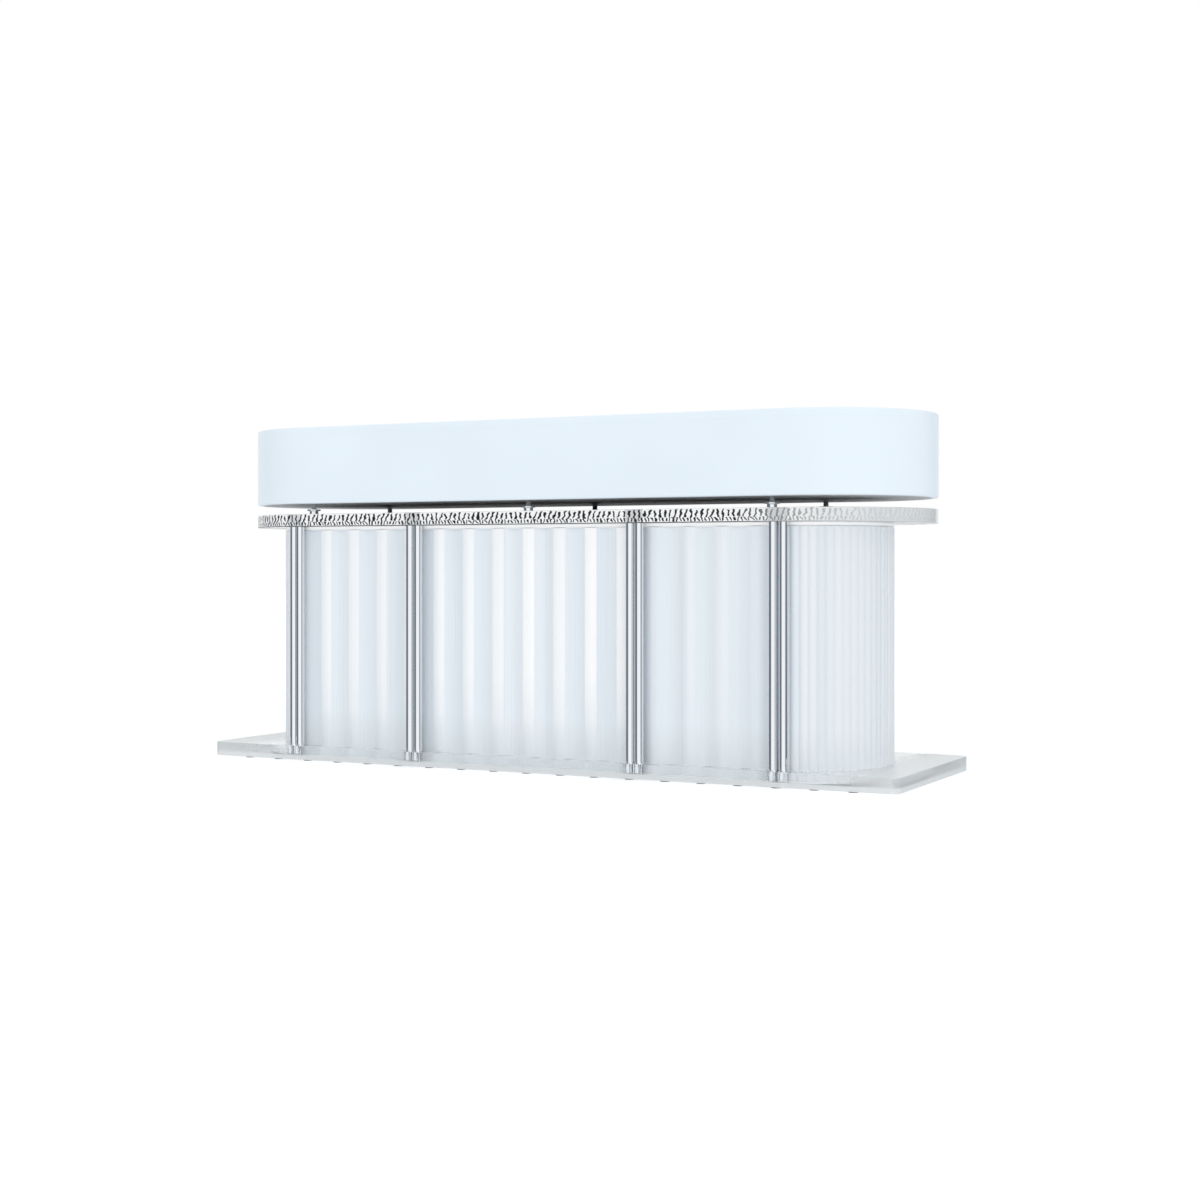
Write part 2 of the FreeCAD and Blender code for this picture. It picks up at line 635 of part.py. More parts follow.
deck = slab("deck_body", top_outline, f"{BOX_HIGH} - deck_thick", "deck_thick")
soften(deck, "deck_round", deck.Shape.BoundBox.ZMax)
keep("top_deck", deck)


def under_outline(sketch):
    """Outline of the board inside the fascias."""
    slot_outline(sketch, "top_length - top_depth", "top_depth / 2 - fascia_thick - board_play")


under = slab("under_sheet", under_outline, BOX_LOW, "under_thick")
holes = [peg(f"under_way_{n}", STUD_WAY, "under_thick", (x, y, BOX_LOW))
         for n, (x, y) in enumerate(STANDOFFS)]
keep("underside_board", cut("underside_cut", under, holes))

RING_HEIGHT = "top_height - deck_thick"
RING_RUN = "top_length - top_depth"


def profile(sketch, way):
    """Upright section of the fascia in the plane of the sketch; its outer lower edge is rounded."""
    far, thick = size("top_depth") / 2, size("fascia_thick")
    low = reckon(BOX_LOW)
    high, arc = low + reckon(RING_HEIGHT), size("fascia_round")
    near = way * (far - thick)
    far = way * far
    sketch.addGeometry(Part.LineSegment(V(near, high, 0), V(near, low, 0)))
    sketch.addGeometry(Part.LineSegment(V(near, low, 0), V(far - way * arc, low, 0)))
    turn = (-math.pi / 2, 0) if way > 0 else (math.pi, 3 * math.pi / 2)
    rim = Part.Circle(V(far - way * arc, low + arc, 0), V(0, 0, 1), arc)
    sketch.addGeometry(Part.ArcOfCircle(rim, *turn))
    sketch.addGeometry(Part.LineSegment(V(far, low + arc, 0), V(far, high, 0)))
    sketch.addGeometry(Part.LineSegment(V(far, high, 0), V(near, high, 0)))
    start, end = (1, 2) if way > 0 else (2, 1)
    for refs in ((0, 2, 1, 1), (3, 2, 4, 1), (4, 2, 0, 1)):
        sketch.addConstraint(Sketcher.Constraint("Coincident", *refs))
    sketch.addConstraint(Sketcher.Constraint("Tangent", 1, 2, 2, start))
    sketch.addConstraint(Sketcher.Constraint("Tangent", 3, 1, 2, end))
    for edge, direction in ((0, "Vertical"), (1, "Horizontal"), (3, "Vertical"), (4, "Horizontal")):
        sketch.addConstraint(Sketcher.Constraint(direction, edge))
    named(sketch, "Radius", (2,), arc, "fascia_round")
    named(sketch, "DistanceY", (-1, 1, 0, 2), low, BOX_LOW)
    named(sketch, "DistanceY", (0, 2, 0, 1), high - low, RING_HEIGHT)
    refs = ((-1, 1, 0, 1), (0, 1, 4, 1)) if way > 0 else ((0, 1, -1, 1), (4, 1, 0, 1))
    named(sketch, "DistanceX", refs[0], abs(near), "top_depth / 2 - fascia_thick")
    named(sketch, "DistanceX", refs[1], thick, "fascia_thick")


for name, way in (("front", -1), ("back", 1)):
    body = doc.addObject("PartDesign::Body", f"fascia_{name}_body")
    sketch = sketch_on(body, "YZ")
    profile(sketch, way)
    pad = body.newObject("PartDesign::Pad", f"fascia_{name}_pad")
    pad.Profile = (sketch, [""])
    pad.setExpression("Length", bind(RING_RUN))
    pad.Midplane = True
    sketch.Visibility = False
    body.Tip = pad
    keep(f"fascia_{name}", body)

for name, way in (("left", -1), ("right", 1)):
    body = doc.addObject("PartDesign::Body", f"fascia_end_{name}_body")
    sketch = sketch_on(body, "XZ")
    profile(sketch, way)
    turned = body.newObject("PartDesign::Revolution", f"fascia_end_{name}_turn")
    turned.Profile = (sketch, [""])
    turned.ReferenceAxis = (sketch, ["V_Axis"])
    turned.Angle = 180
    turned.Midplane = True
    sketch.Visibility = False
    body.Tip = turned
    place(body, (f"{way} * ({RING_RUN}) / 2", "0", "0"))
    keep(f"fascia_end_{name}", body)

ribs = []
for n, x in enumerate(("-rib_outer", "-rib_inner", "rib_inner", "rib_outer")):
    sizes = ("board_thick", "top_depth - 2 * (fascia_thick + board_play)",
             "top_height - deck_thick - under_thick")
    at = (f"{x} - board_thick / 2", "fascia_thick + board_play - top_depth / 2", f"{BOX_LOW} + under_thick")
    ribs.append(block(f"rib_{n}", sizes, at))
keep("top_ribs", group("top_ribs_all", ribs))

doc.recompute()
for item in doc.Objects:
    if "Invalid" in item.State or "Error" in item.State:
        raise RuntimeError(f"{item.Label} did not build: {item.State}")
for label, item in NODES.items():
    if item.Shape.isNull() or not item.Shape.isValid():
        raise RuntimeError(f"{label} has no valid shape")
os.makedirs("parts", exist_ok=True)
for label, item in NODES.items():
    item.Shape.exportStep(f"parts/{label}.step")
    print(label, len(item.Shape.Solids), round(item.Shape.Volume))
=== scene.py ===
import math

import bmesh
import bpy
from mathutils import Matrix, Vector


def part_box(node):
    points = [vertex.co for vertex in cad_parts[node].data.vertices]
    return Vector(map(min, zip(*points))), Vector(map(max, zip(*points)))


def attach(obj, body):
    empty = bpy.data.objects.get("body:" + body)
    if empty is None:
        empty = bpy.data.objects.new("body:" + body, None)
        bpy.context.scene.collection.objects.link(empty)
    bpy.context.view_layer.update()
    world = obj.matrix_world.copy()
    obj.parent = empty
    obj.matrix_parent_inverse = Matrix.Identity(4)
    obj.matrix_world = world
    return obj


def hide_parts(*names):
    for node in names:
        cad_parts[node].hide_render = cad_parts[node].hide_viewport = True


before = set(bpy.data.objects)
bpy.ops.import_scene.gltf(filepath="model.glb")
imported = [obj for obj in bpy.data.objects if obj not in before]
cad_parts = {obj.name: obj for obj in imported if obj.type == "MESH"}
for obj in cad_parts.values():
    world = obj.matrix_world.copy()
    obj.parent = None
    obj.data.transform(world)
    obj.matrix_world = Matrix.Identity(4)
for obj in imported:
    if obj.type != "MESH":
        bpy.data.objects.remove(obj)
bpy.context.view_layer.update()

bl_info = {
    "name": "Bar counter",
    "version": (1, 0, 0),
    "blender": (4, 5, 0),
    "location": "View3D > Sidebar > Bar counter",
    "description": "Dresses the bar counter: clear plates, pleated panels, chrome rods, deep pale top",
    "category": "Object",
}

ROOT = "root"
SHARP = math.radians(32)
ROUND_STEPS, LATHE_STEPS = 96, 48  # faces round a half circle and round a turned piece
PLEAT_STEPS, REED_STEPS = 28, 10  # faces across a pleat and across a reed
GROOVE_STEPS, RAIL_STEPS = 480, 360  # faces along the groove and along the rail
AXIS = 0.0002  # radius that stands for the axis of a turned piece
CLEAR = 0.01  # tools for holes reach past their boards by this much
FLOOR_HALF = 30.0
RIB_SHARE = 0.26 / 0.81  # inner ribs, of the way out to the outer ones
BOLT_HEAD = 0.008  # height of the heads of the bolts
BOLT_BORE = 0.0053  # radius of the holes that the bolts pass
STUD_BORE = 0.0043  # radius of the holes in the standoffs and nuts
ACRYLIC_IOR = 1.49
SANDED = (0.0165, 0.0205)  # heights between which the sanded foot of the base plate turns clear
# Rows of cuts in the edge of the upper plate: spacing, lower end, upper end, lean and width
CUT_ROWS = ((0.017, 0.014, 0.0405, 0.35, 0.0068), (0.0115, 0.003, 0.0165, -0.2, 0.0052))
CUT_STRAY = 0.011  # how far the cuts stray along the edge
CUT_FADE = (0.7, 1.1)  # along X, where the cuts fade and the edge takes painted shade
SILL_SHADE = 0.0026  # height of a dark line of painted shade at the lower rim of that edge
ROD_SIDE, ROD_REACH = 0.01, 0.03  # clearer part of that edge at a pair of rods: place and half width
RIDGE_HIGHLIGHT_LEVELS = (0.6, 1.0, 0.12)  # painted highlight on the ridges of the left, middle and right bay
RIDGE_SOFT = 0.015  # soft edge of that painted highlight, as a share of a pleat
RIDGE_HIGHLIGHT_FOOT = (0.06, 0.3)  # heights between which that painted highlight comes up
PANEL_BEND_SHADE = (0.82, 0.95)  # along the outline, where the panels take painted shade round the ends
PANEL_FOOT_SHADE = (0.17, 0.04)  # heights between which they take painted shade, towards the base plate
SOFFIT_LIT_FRONT, SOFFIT_LIT_ENDS = (-0.13, -0.05), (0.68, 1.12)  # painted light on the underside board: its front in Y, its ends in X
VIEW_TURN = math.radians(27.1)  # the camera's way round the counter
ROOM_SIDES = ((-0.85, -0.65), (0.68, 0.5))  # across the view, where the room turns from dark to white
# Lamps: tilt and turns in degrees, strength, spread in degrees
LAMPS = (("main light", (48, 0, 40), 0.58, 80), ("left fill", (60, 0, -40), 0.12, 90),
         ("right fill", (65, 0, 85), 0.14, 70))
BASE_LOW, BASE_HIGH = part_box("base_plate")
PLATE_LOW, PLATE_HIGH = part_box("upper_plate")
DECK_LOW, DECK_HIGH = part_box("top_deck")
FASCIA_LOW, FASCIA_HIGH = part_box("fascia_front")
UNDER_LOW, UNDER_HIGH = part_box("underside_board")
PANEL_LOW, PANEL_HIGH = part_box("front_panel_middle")
END_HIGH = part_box("end_panel_right")[1]
RAIL_LOW, RAIL_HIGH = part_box("top_rail")
MILKY_AND_SHADED = (END_HIGH.x - 0.14, END_HIGH.x + 0.02)  # along X, where the clear plates turn milky and take painted shade


def linear(code):
    """Linear colour of an sRGB hex code."""
    parts = [int(code[i:i + 2], 16) / 255 for i in (0, 2, 4)]
    return tuple(c / 12.92 if c <= 0.04045 else ((c + 0.055) / 1.055) ** 2.4 for c in parts) + (1.0,)


def length(label, default, note):
    """A size in metres that a user may change."""
    return bpy.props.FloatProperty(name=label, description=note, default=default, unit="LENGTH",
                                   precision=4)


def colour(label, code, note):
    """A colour that a user may change."""
    return bpy.props.FloatVectorProperty(name=label, description=note, default=linear(code), size=4,
                                         subtype="COLOR", min=0.0, max=1.0)


class BarSizes(bpy.types.PropertyGroup):
    """Sizes of the dressed pieces."""

    body_corner: length("Body corner", 0.25, "Radius of the rounded ends of the body")
    panel_depth: length("Panel depth", 0.02, "Crest of a pleat to the inner face")
    panel_gap: length("Panel gap", 0.001, "Joint between two panels")
    pleat_pitch: length("Pleat pitch", 0.1092, "Ridge to ridge on the front")
    pleat_shift: length("Pleat shift", 0.014, "Ridges set to the left of the middle")
    ridge_width: length("Ridge width", 0.04, "Rounded ridge of a pleat")
    ridge_drop: length("Ridge drop", 0.004, "Ridge edge behind its crest")
    valley_drop: length("Valley drop", 0.011, "Valley floor behind the crest")
    reed_pitch: length("Reed pitch", 0.0273, "Reed to reed on the ends")
    reed_step: length("Reed step", 0.02707, "Width of a reed as laid out on the ends")
    reed_drop: length("Reed drop", 0.004, "Reed edge behind its crest")
    rod_inner: length("Inner rods", 0.393, "Inner pair from the middle")
    rod_outer: length("Outer rods", 0.855, "Outer pair from the middle")
    rod_shift: length("Rod shift", 0.028, "All the pairs set to the left of the middle")
    rod_ahead: length("Rods ahead", 0.018, "Rod axes before the crests")
    rod_spacing: length("Rod spacing", 0.03, "Axis to axis in a pair")
    rod_width: length("Rod width", 0.028, "Outer diameter of a rod")
    rod_wall: length("Rod wall", 0.002, "Wall of a rod")
    base_corner: length("Base corner", 0.025, "Corner radius of the base plate")
    stud_width: length("Stud width", 0.008, "Thread of the studs")
    stud_way: length("Stud hole", 0.0086, "Holes that the studs pass")
    edge: length("Polished edge", 0.0005, "Small bevel on the edges of the plates")
    play: length("Play", 0.0003, "Clearance round rods and panels")
    deck_round: length("Worktop edge", 0.004, "Rounded upper edge of the worktop")
    fascia_round: length("Fascia edge", 0.005, "Rounded lower edge of the fascia")
    fascia_thick: length("Fascia", 0.018, "Thickness of the fascia")
    rail_groove: length("Rail groove", 0.003, "Shadow groove along the foot of the rail")
    rib_thick: length("Ribs", 0.018, "Ribs inside the top box")
    board_edge: length("Board edge", 0.0008, "Bevel on the edges of the boards")


class BarColours(bpy.types.PropertyGroup):
    """Colours of the finishes, and the painted light and shade laid on some of them."""

    top: colour("Top", "E8F3FB", "Lacquered top box")
    panel: colour("Panels", "E3EBF2", "Opal acrylic in the valleys")
    # painted shade round the ends, where the body turns from the light
    bend: colour("Panel ends", "DFE6EC", "Opal acrylic round the ends")
    # painted shade low on the panels, by the base plate
    panel_foot_shade: colour("Panel foot", "DBE2E6", "Opal acrylic close to the base plate")
    # painted highlight: the white that the brightest ridges take in place of the light they reflect
    ridge: colour("Ridges", "FDFEFF", "Opal acrylic on the brightest ridges")
    clear: colour("Clear plates", "F8FAFB", "Cast acrylic before the panels")
    # painted shade on the clear plates past the panels
    clear_end_shade: colour("Clear ends", "E0E3E4", "Cast acrylic past the panels")
    sanded: colour("Sanded foot", "E4E8EA", "Sanded foot of the base plate")
    ground: colour("Plate edge", "FAFBFC", "Edge of the upper plate between its cuts")
    # painted shade at the right end of the plate's edge
    ground_end_shade: colour("Plate edge, right", "D6DADC", "Edge of the upper plate where its cuts fade")
    stroke: colour("Cuts", "0B0D0F", "Cut strokes in the upper plate")
    # painted shade: the board is made dark to stand for the shadow under the top
    soffit_shade: colour("Soffit", "141517", "Dark board under the top")
    # painted light along the front and round the ends of that board
    soffit_rim_light: colour("Soffit rim", "BCBEC0", "Paler front and ends of that board")
    chrome: colour("Chrome", "F0F3F6", "Rods and standoffs")
    steel: colour("Steel", "B9BDC0", "Nuts, bolts and studs")
    rail: colour("Rail", "FAFBFC", "Rail over the panels")
    board: colour("Boards", "ECEEEF", "Melamine boards of the carcass")
    rubber: colour("Pads", "5C6063", "Rubber pads")
    floor: colour("Floor", "F4F5F6", "Studio floor")
    room: colour("Room", "59636E", "Dark sides of the studio in polished metal")


def sizes():
    """The sizes in use."""
    return bpy.context.scene.bar_sizes


def colours():
    """The colours in use."""
    return bpy.context.scene.bar_colours


# Materials


MATHS, RANGE, MIX, BUMP = "ShaderNodeMath", "ShaderNodeMapRange", "ShaderNodeMix", "ShaderNodeBump"
PLACE, AXES, CHANCE = "ShaderNodeTexCoord", "ShaderNodeSeparateXYZ", "ShaderNodeTexWhiteNoise"
PATH, SKIN, OUTPUT = "ShaderNodeLightPath", "ShaderNodeBsdfPrincipled", "ShaderNodeOutputMaterial"
WHITE = (1, 1, 1, 1)


def add(tree, kind, inputs=(), **settings):
    """Adds a node with its settings; an input is a value, or the node or socket that feeds it."""
    item = tree.nodes.new(kind)
    for key, value in settings.items():
        setattr(item, key, value)
    for key, value in dict(inputs).items():
        if isinstance(value, bpy.types.Node):
            value = next(socket for socket in value.outputs if socket.enabled)
        if isinstance(value, bpy.types.NodeSocket):
            tree.links.new(value, item.inputs[key])
        else:
            item.inputs[key].default_value = value
    return item


def blank(name):
    """Empty material and its node tree."""
    material = bpy.data.materials.new(name)
    material.use_nodes = True
    material.node_tree.nodes.clear()
    return material, material.node_tree


def shade(colour_code, factor):
    """A colour made lighter or darker by a factor."""
    return tuple(min(1.0, c * factor) for c in colour_code[:3]) + (1.0,)


def grain(tree, millimetres, stretch=(1, 1, 1), detail=3.0):
    """Noise on Object coordinates whose features are about so many millimetres across."""
    place = add(tree, PLACE)
    scale = tuple(1000 / millimetres * s for s in stretch)
    turn = add(tree, "ShaderNodeMapping", {"Vector": place.outputs["Object"], "Scale": scale})
    return add(tree, "ShaderNodeTexNoise", {"Vector": turn, "Scale": 1.0, "Detail": detail})


def solid(name, base, rough, pattern, patch, bump, extra=()):
    """Opaque finish: fine pattern for roughness and bump, broad patches for the colour.

    Both are sizes in millimetres. A grain finer than 1.5 mm wouldn't show, so it is drawn that coarse.
    """
    material, tree = blank(name)
    fine, broad = grain(tree, pattern), grain(tree, patch, detail=1.0)
    relief = add(tree, BUMP, {"Strength": bump, "Distance": 0.0004, "Height": fine})
    tone = add(tree, MIX, {"Factor": broad, "A": shade(base, 0.97), "B": shade(base, 1.02)},
               data_type="RGBA")
    gloss = add(tree, RANGE, {"Value": fine, "To Min": rough[0], "To Max": rough[1]})
    skin = add(tree, SKIN, {"Base Color": tone, "Roughness": gloss, "Normal": relief, **dict(extra)})
    add(tree, OUTPUT, {"Surface": skin})
    return material


def lamp_way(tree, skin):
    """Lets lamps and soft light pass a clear finish, so that what stands in it is lit."""
    path = add(tree, PATH).outputs
    passing = add(tree, MATHS, {0: path["Is Shadow Ray"], 1: path["Is Diffuse Ray"]}, operation="MAXIMUM")
    open_way = add(tree, "ShaderNodeBsdfTransparent", {"Color": WHITE})
    both = add(tree, "ShaderNodeMixShader", {0: passing, 1: skin, 2: open_way})
    add(tree, OUTPUT, {"Surface": both})


def clear_acrylic():
    """Flame-polished cast acrylic: clear before the panels, milky and greyed by painted shade past them,
    sanded at its foot.
    """
    material, tree = blank("clear cast acrylic")
    ripple = grain(tree, 90, detail=1.0)
    relief = add(tree, BUMP, {"Strength": 0.03, "Distance": 0.001, "Height": ripple})
    place = add(tree, AXES, {"Vector": add(tree, PLACE).outputs["Object"]}).outputs
    foot = add(tree, RANGE, {"Value": place["Z"], "From Min": SANDED[0], "From Max": SANDED[1]})
    away = add(tree, MATHS, {0: place["X"]}, operation="ABSOLUTE")
    share = add(tree, RANGE, {"Value": away, "From Min": MILKY_AND_SHADED[0], "From Max": MILKY_AND_SHADED[1]})
    polish = add(tree, RANGE, {"Value": ripple, "To Min": 0.0, "To Max": 0.04})
    smooth = add(tree, MIX, {"Factor": share, "A": polish, "B": 0.32}, data_type="FLOAT")
    gloss = add(tree, MIX, {"Factor": foot, "A": 0.45, "B": smooth}, data_type="FLOAT")
    through = add(tree, RANGE, {"Value": share, "To Min": 0.95, "To Max": 0.55})
    passed = add(tree, MIX, {"Factor": foot, "A": 0.15, "B": through}, data_type="FLOAT")
    # Past the panels the plates turn grey: painted shade.
    tone = add(tree, MIX, {"Factor": share, "A": colours().clear, "B": colours().clear_end_shade},
               data_type="RGBA")
    tone = add(tree, MIX, {"Factor": foot, "A": colours().sanded, "B": tone}, data_type="RGBA")
    skin = add(tree, SKIN, {"Base Color": tone, "Roughness": gloss, "IOR": ACRYLIC_IOR,
                            "Transmission Weight": passed, "Normal": relief})
    lamp_way(tree, skin)
    return material


def cut_acrylic():
    """Polished acrylic edge engraved with rows of slanted cuts, dark where they turn the light away, with a
    line of painted shade along its lower rim and painted shade towards its right end.
    """
    material, tree = blank("engraved acrylic edge")
    edge = add(tree, "ShaderNodeUVMap", uv_map="edge")
    axes = add(tree, AXES, {"Vector": edge}).outputs
    spread = add(tree, "ShaderNodeMapping", {"Vector": edge, "Scale": (1000 / 14, 1000 / 10, 1.0)})
    wander = add(tree, "ShaderNodeTexNoise", {"Vector": spread, "Scale": 1.0, "Detail": 0.0})
    along = add(tree, MATHS, {0: wander, 1: CUT_STRAY, 2: axes["X"]}, operation="MULTIPLY_ADD")

    def row(pitch, low, high, lean, wide):
        """One row of cuts, each with its own slant and length."""
        turn = add(tree, MATHS, {0: along, 1: 1 / pitch}, operation="MULTIPLY")
        cell = add(tree, MATHS, {0: turn}, operation="FLOOR")
        chance = add(tree, CHANCE, {"W": cell}, noise_dimensions="1D")
        rise = add(tree, RANGE, {"Value": axes["Y"], "From Min": low, "From Max": high, "To Min": -0.5,
                                 "To Max": 0.5}, clamp=False)
        slant = add(tree, RANGE, {"Value": chance, "To Min": lean - 0.6, "To Max": lean + 0.6})
        middle = add(tree, MATHS, {0: rise, 1: slant, 2: 0.5}, operation="MULTIPLY_ADD")
        across = add(tree, MATHS, {0: turn}, operation="FRACT")
        off = add(tree, MATHS, {0: add(tree, MATHS, {0: across, 1: middle}, operation="SUBTRACT")},
                  operation="ABSOLUTE")
        line = add(tree, RANGE, {"Value": off, "From Min": 0.56 * wide / pitch,
                                 "From Max": 0.44 * wide / pitch})
        # The digits further down the same chance give each cut its length.
        again = add(tree, MATHS, {0: chance, 1: 7.3}, operation="MULTIPLY")
        other = add(tree, MATHS, {0: again}, operation="FRACT")
        reach = add(tree, RANGE, {"Value": other, "To Min": 0.34, "To Max": 0.5})
        inside = add(tree, MATHS, {0: rise, 1: 0.0, 2: reach}, operation="COMPARE")
        return add(tree, MATHS, {0: line, 1: inside}, operation="MULTIPLY")

    upper, lower = (row(*cuts) for cuts in CUT_ROWS)
    cuts = add(tree, MATHS, {0: upper, 1: lower}, operation="MAXIMUM")
    # A dark line of painted shade along the lower rim of the edge.
    sill_shade = add(tree, MATHS, {0: axes["Y"], 1: SILL_SHADE}, operation="LESS_THAN")
    place = add(tree, AXES, {"Vector": add(tree, PLACE).outputs["Object"]})
    fade = add(tree, RANGE, {"Value": place.outputs["X"], "From Min": CUT_FADE[0], "From Max": CUT_FADE[1],
                             "To Min": 1.0, "To Max": 0.12})
    clear = 0.0
    for seam in seams():
        near = add(tree, MATHS, {0: axes["X"], 1: seam + ROD_SIDE, 2: ROD_REACH}, operation="COMPARE")
        clear = add(tree, MATHS, {0: near, 1: clear}, operation="ADD")
    cuts = add(tree, MATHS, {0: add(tree, MATHS, {0: cuts, 1: sill_shade}, operation="MAXIMUM"), 1: fade},
               operation="MULTIPLY")
    # The edge turns grey towards the right end: painted shade.
    ground = add(tree, MIX, {"Factor": fade, "A": colours().ground_end_shade, "B": colours().ground},
                 data_type="RGBA")
    tone = add(tree, MIX, {"Factor": cuts, "A": ground, "B": colours().stroke}, data_type="RGBA")
    gloss = add(tree, RANGE, {"Value": cuts, "To Min": 0.08, "To Max": 0.3})
    seen = add(tree, RANGE, {"Value": clear, "To Min": 0.06, "To Max": 0.4})
    passed = add(tree, MATHS, {0: add(tree, MATHS, {0: 1.0, 1: cuts}, operation="SUBTRACT"), 1: seen},
                 operation="MULTIPLY")
    skin = add(tree, SKIN, {"Base Color": tone, "Roughness": gloss, "IOR": ACRYLIC_IOR,
                            "Transmission Weight": passed})
    lamp_way(tree, skin)
    return material


def opal_acrylic():
    """Extruded opal acrylic: milky and satin, with a painted highlight on some ridges, and painted shade
    round the ends and low down by the base plate.
    """
    material, tree = blank("opal acrylic")
    s, joins = sizes(), seams()
    height = add(tree, AXES, {"Vector": add(tree, PLACE).outputs["Object"]}).outputs["Z"]
    along = add(tree, "ShaderNodeAttribute", attribute_name="along").outputs["Fac"]
    lines = grain(tree, 6, stretch=(1, 1, 0.01))

    turn = add(tree, MATHS, {0: along, 1: 1 / s.pleat_pitch, 2: s.pleat_shift / s.pleat_pitch + 0.5},
               operation="MULTIPLY_ADD")
    chance = add(tree, CHANCE, {"W": add(tree, MATHS, {0: turn}, operation="FLOOR")},
                 noise_dimensions="1D")
    across = add(tree, MATHS, {0: add(tree, MATHS, {0: turn}, operation="FRACT"), 1: 0.5},
                 operation="SUBTRACT")
    # The white on the ridges is a painted highlight, graded by bay, by chance and by height.
    half = s.ridge_width / s.pleat_pitch / 2
    ridge = add(tree, RANGE, {"Value": add(tree, MATHS, {0: across}, operation="ABSOLUTE"),
                              "From Min": half + RIDGE_SOFT, "From Max": half - RIDGE_SOFT})
    level = 0.0
    for first, last, share in zip(joins, joins[1:], RIDGE_HIGHLIGHT_LEVELS):
        middle, reach = (first + last) / 2, (last - first) / 2
        bay = add(tree, MATHS, {0: along, 1: middle, 2: reach}, operation="COMPARE")
        level = add(tree, MATHS, {0: bay, 1: share, 2: level}, operation="MULTIPLY_ADD")
    some = add(tree, RANGE, {"Value": chance, "To Min": 0.55, "To Max": 1.0})
    foot = add(tree, RANGE, {"Value": height, "From Min": RIDGE_HIGHLIGHT_FOOT[0], "From Max": RIDGE_HIGHLIGHT_FOOT[1],
                             "To Min": 0.1, "To Max": 1.0})
    for factor in (level, some, foot):
        ridge = add(tree, MATHS, {0: ridge, 1: factor}, operation="MULTIPLY")

    left = add(tree, MATHS, {0: along, 1: 0.0}, operation="LESS_THAN")
    start = add(tree, RANGE, {"Value": left, "To Min": joins[-1], "To Max": -joins[0]})
    away = add(tree, MATHS, {0: along}, operation="ABSOLUTE")
    past = add(tree, MATHS, {0: away, 1: start}, operation="SUBTRACT")
    reed = add(tree, MATHS, {0: add(tree, MATHS, {0: past, 1: 1 / s.reed_step}, operation="MULTIPLY")},
               operation="FLOOR")
    uneven = add(tree, CHANCE, {"W": reed}, noise_dimensions="1D")
    # Random tone of each reed, plus the painted highlight on the ridges.
    lit = add(tree, MATHS, {0: uneven, 1: 0.2, 2: ridge}, operation="MULTIPLY_ADD")

    # Painted shade round the ends of the body.
    bend = add(tree, RANGE, {"Value": away, "From Min": PANEL_BEND_SHADE[0], "From Max": PANEL_BEND_SHADE[1]})
    ground = add(tree, MIX, {"Factor": bend, "A": colours().panel, "B": colours().bend}, data_type="RGBA")
    tone = add(tree, MIX, {"Factor": lit, "A": ground, "B": colours().ridge}, data_type="RGBA")
    # Painted shade low down, towards the base plate.
    low = add(tree, RANGE, {"Value": height, "From Min": PANEL_FOOT_SHADE[0], "From Max": PANEL_FOOT_SHADE[1]})
    tone = add(tree, MIX, {"Factor": low, "A": tone, "B": colours().panel_foot_shade}, data_type="RGBA")
    relief = add(tree, BUMP, {"Strength": 0.1, "Distance": 0.0006, "Height": lines})
    gloss = add(tree, RANGE, {"Value": lines, "To Min": 0.22, "To Max": 0.36})
    skin = add(tree, SKIN, {"Base Color": tone, "Roughness": gloss, "IOR": ACRYLIC_IOR, "Normal": relief})
    add(tree, OUTPUT, {"Surface": skin})
    return material


def lacquer():
    """Sprayed lacquer on board, rubbed to a soft sheen, with a trace of orange peel."""
    return solid("rubbed lacquer", colours().top, (0.3, 0.42), 6, 240, 0.05, {"Specular IOR Level": 0.25})


def shaded_laminate():
    """High-pressure laminate, matt and finely textured, made dark as painted shade, with painted light
    along its front and round its ends.
    """
    material, tree = blank("shaded laminate")
    fine = grain(tree, 1.5)
    relief = add(tree, BUMP, {"Strength": 0.25, "Distance": 0.0004, "Height": fine})
    gloss = add(tree, RANGE, {"Value": fine, "To Min": 0.45, "To Max": 0.62})
    place = add(tree, AXES, {"Vector": add(tree, PLACE).outputs["Object"]}).outputs
    away = add(tree, MATHS, {0: place["X"]}, operation="ABSOLUTE")
    # Painted light: the front and the ends of the board are paler.
    front = add(tree, RANGE, {"Value": place["Y"], "From Min": SOFFIT_LIT_FRONT[0], "From Max": SOFFIT_LIT_FRONT[1],
                              "To Min": 0.65, "To Max": 0.0})
    ends = add(tree, RANGE, {"Value": away, "From Min": SOFFIT_LIT_ENDS[0], "From Max": SOFFIT_LIT_ENDS[1]})
    rim = add(tree, MATHS, {0: front, 1: ends}, operation="ADD", use_clamp=True)
    tone = add(tree, MIX, {"Factor": rim, "A": colours().soffit_shade, "B": colours().soffit_rim_light},
               data_type="RGBA")
    skin = add(tree, SKIN, {"Base Color": tone, "Roughness": gloss, "Normal": relief,
                            "Specular IOR Level": 0.12})
    add(tree, OUTPUT, {"Surface": skin})
    return material


def chrome():
    """Chromium plate on steel tube, buffed along its length, with lines drawn coarse enough to show."""
    material, tree = blank("chromium plate")
    lines = grain(tree, 2, stretch=(1, 1, 0.01))
    tone = add(tree, MIX, {"Factor": lines, "A": shade(colours().chrome, 0.96), "B": colours().chrome},
               data_type="RGBA")
    gloss = add(tree, RANGE, {"Value": lines, "To Min": 0.02, "To Max": 0.07})
    skin = add(tree, SKIN, {"Base Color": tone, "Metallic": 1.0, "Roughness": gloss})
    add(tree, OUTPUT, {"Surface": skin})
    return material


def steel():
    """Zinc-plated steel: dull, slightly cloudy metal."""
    return solid("zinc plated steel", colours().steel, (0.28, 0.46), 2, 15, 0.1, {"Metallic": 1.0})


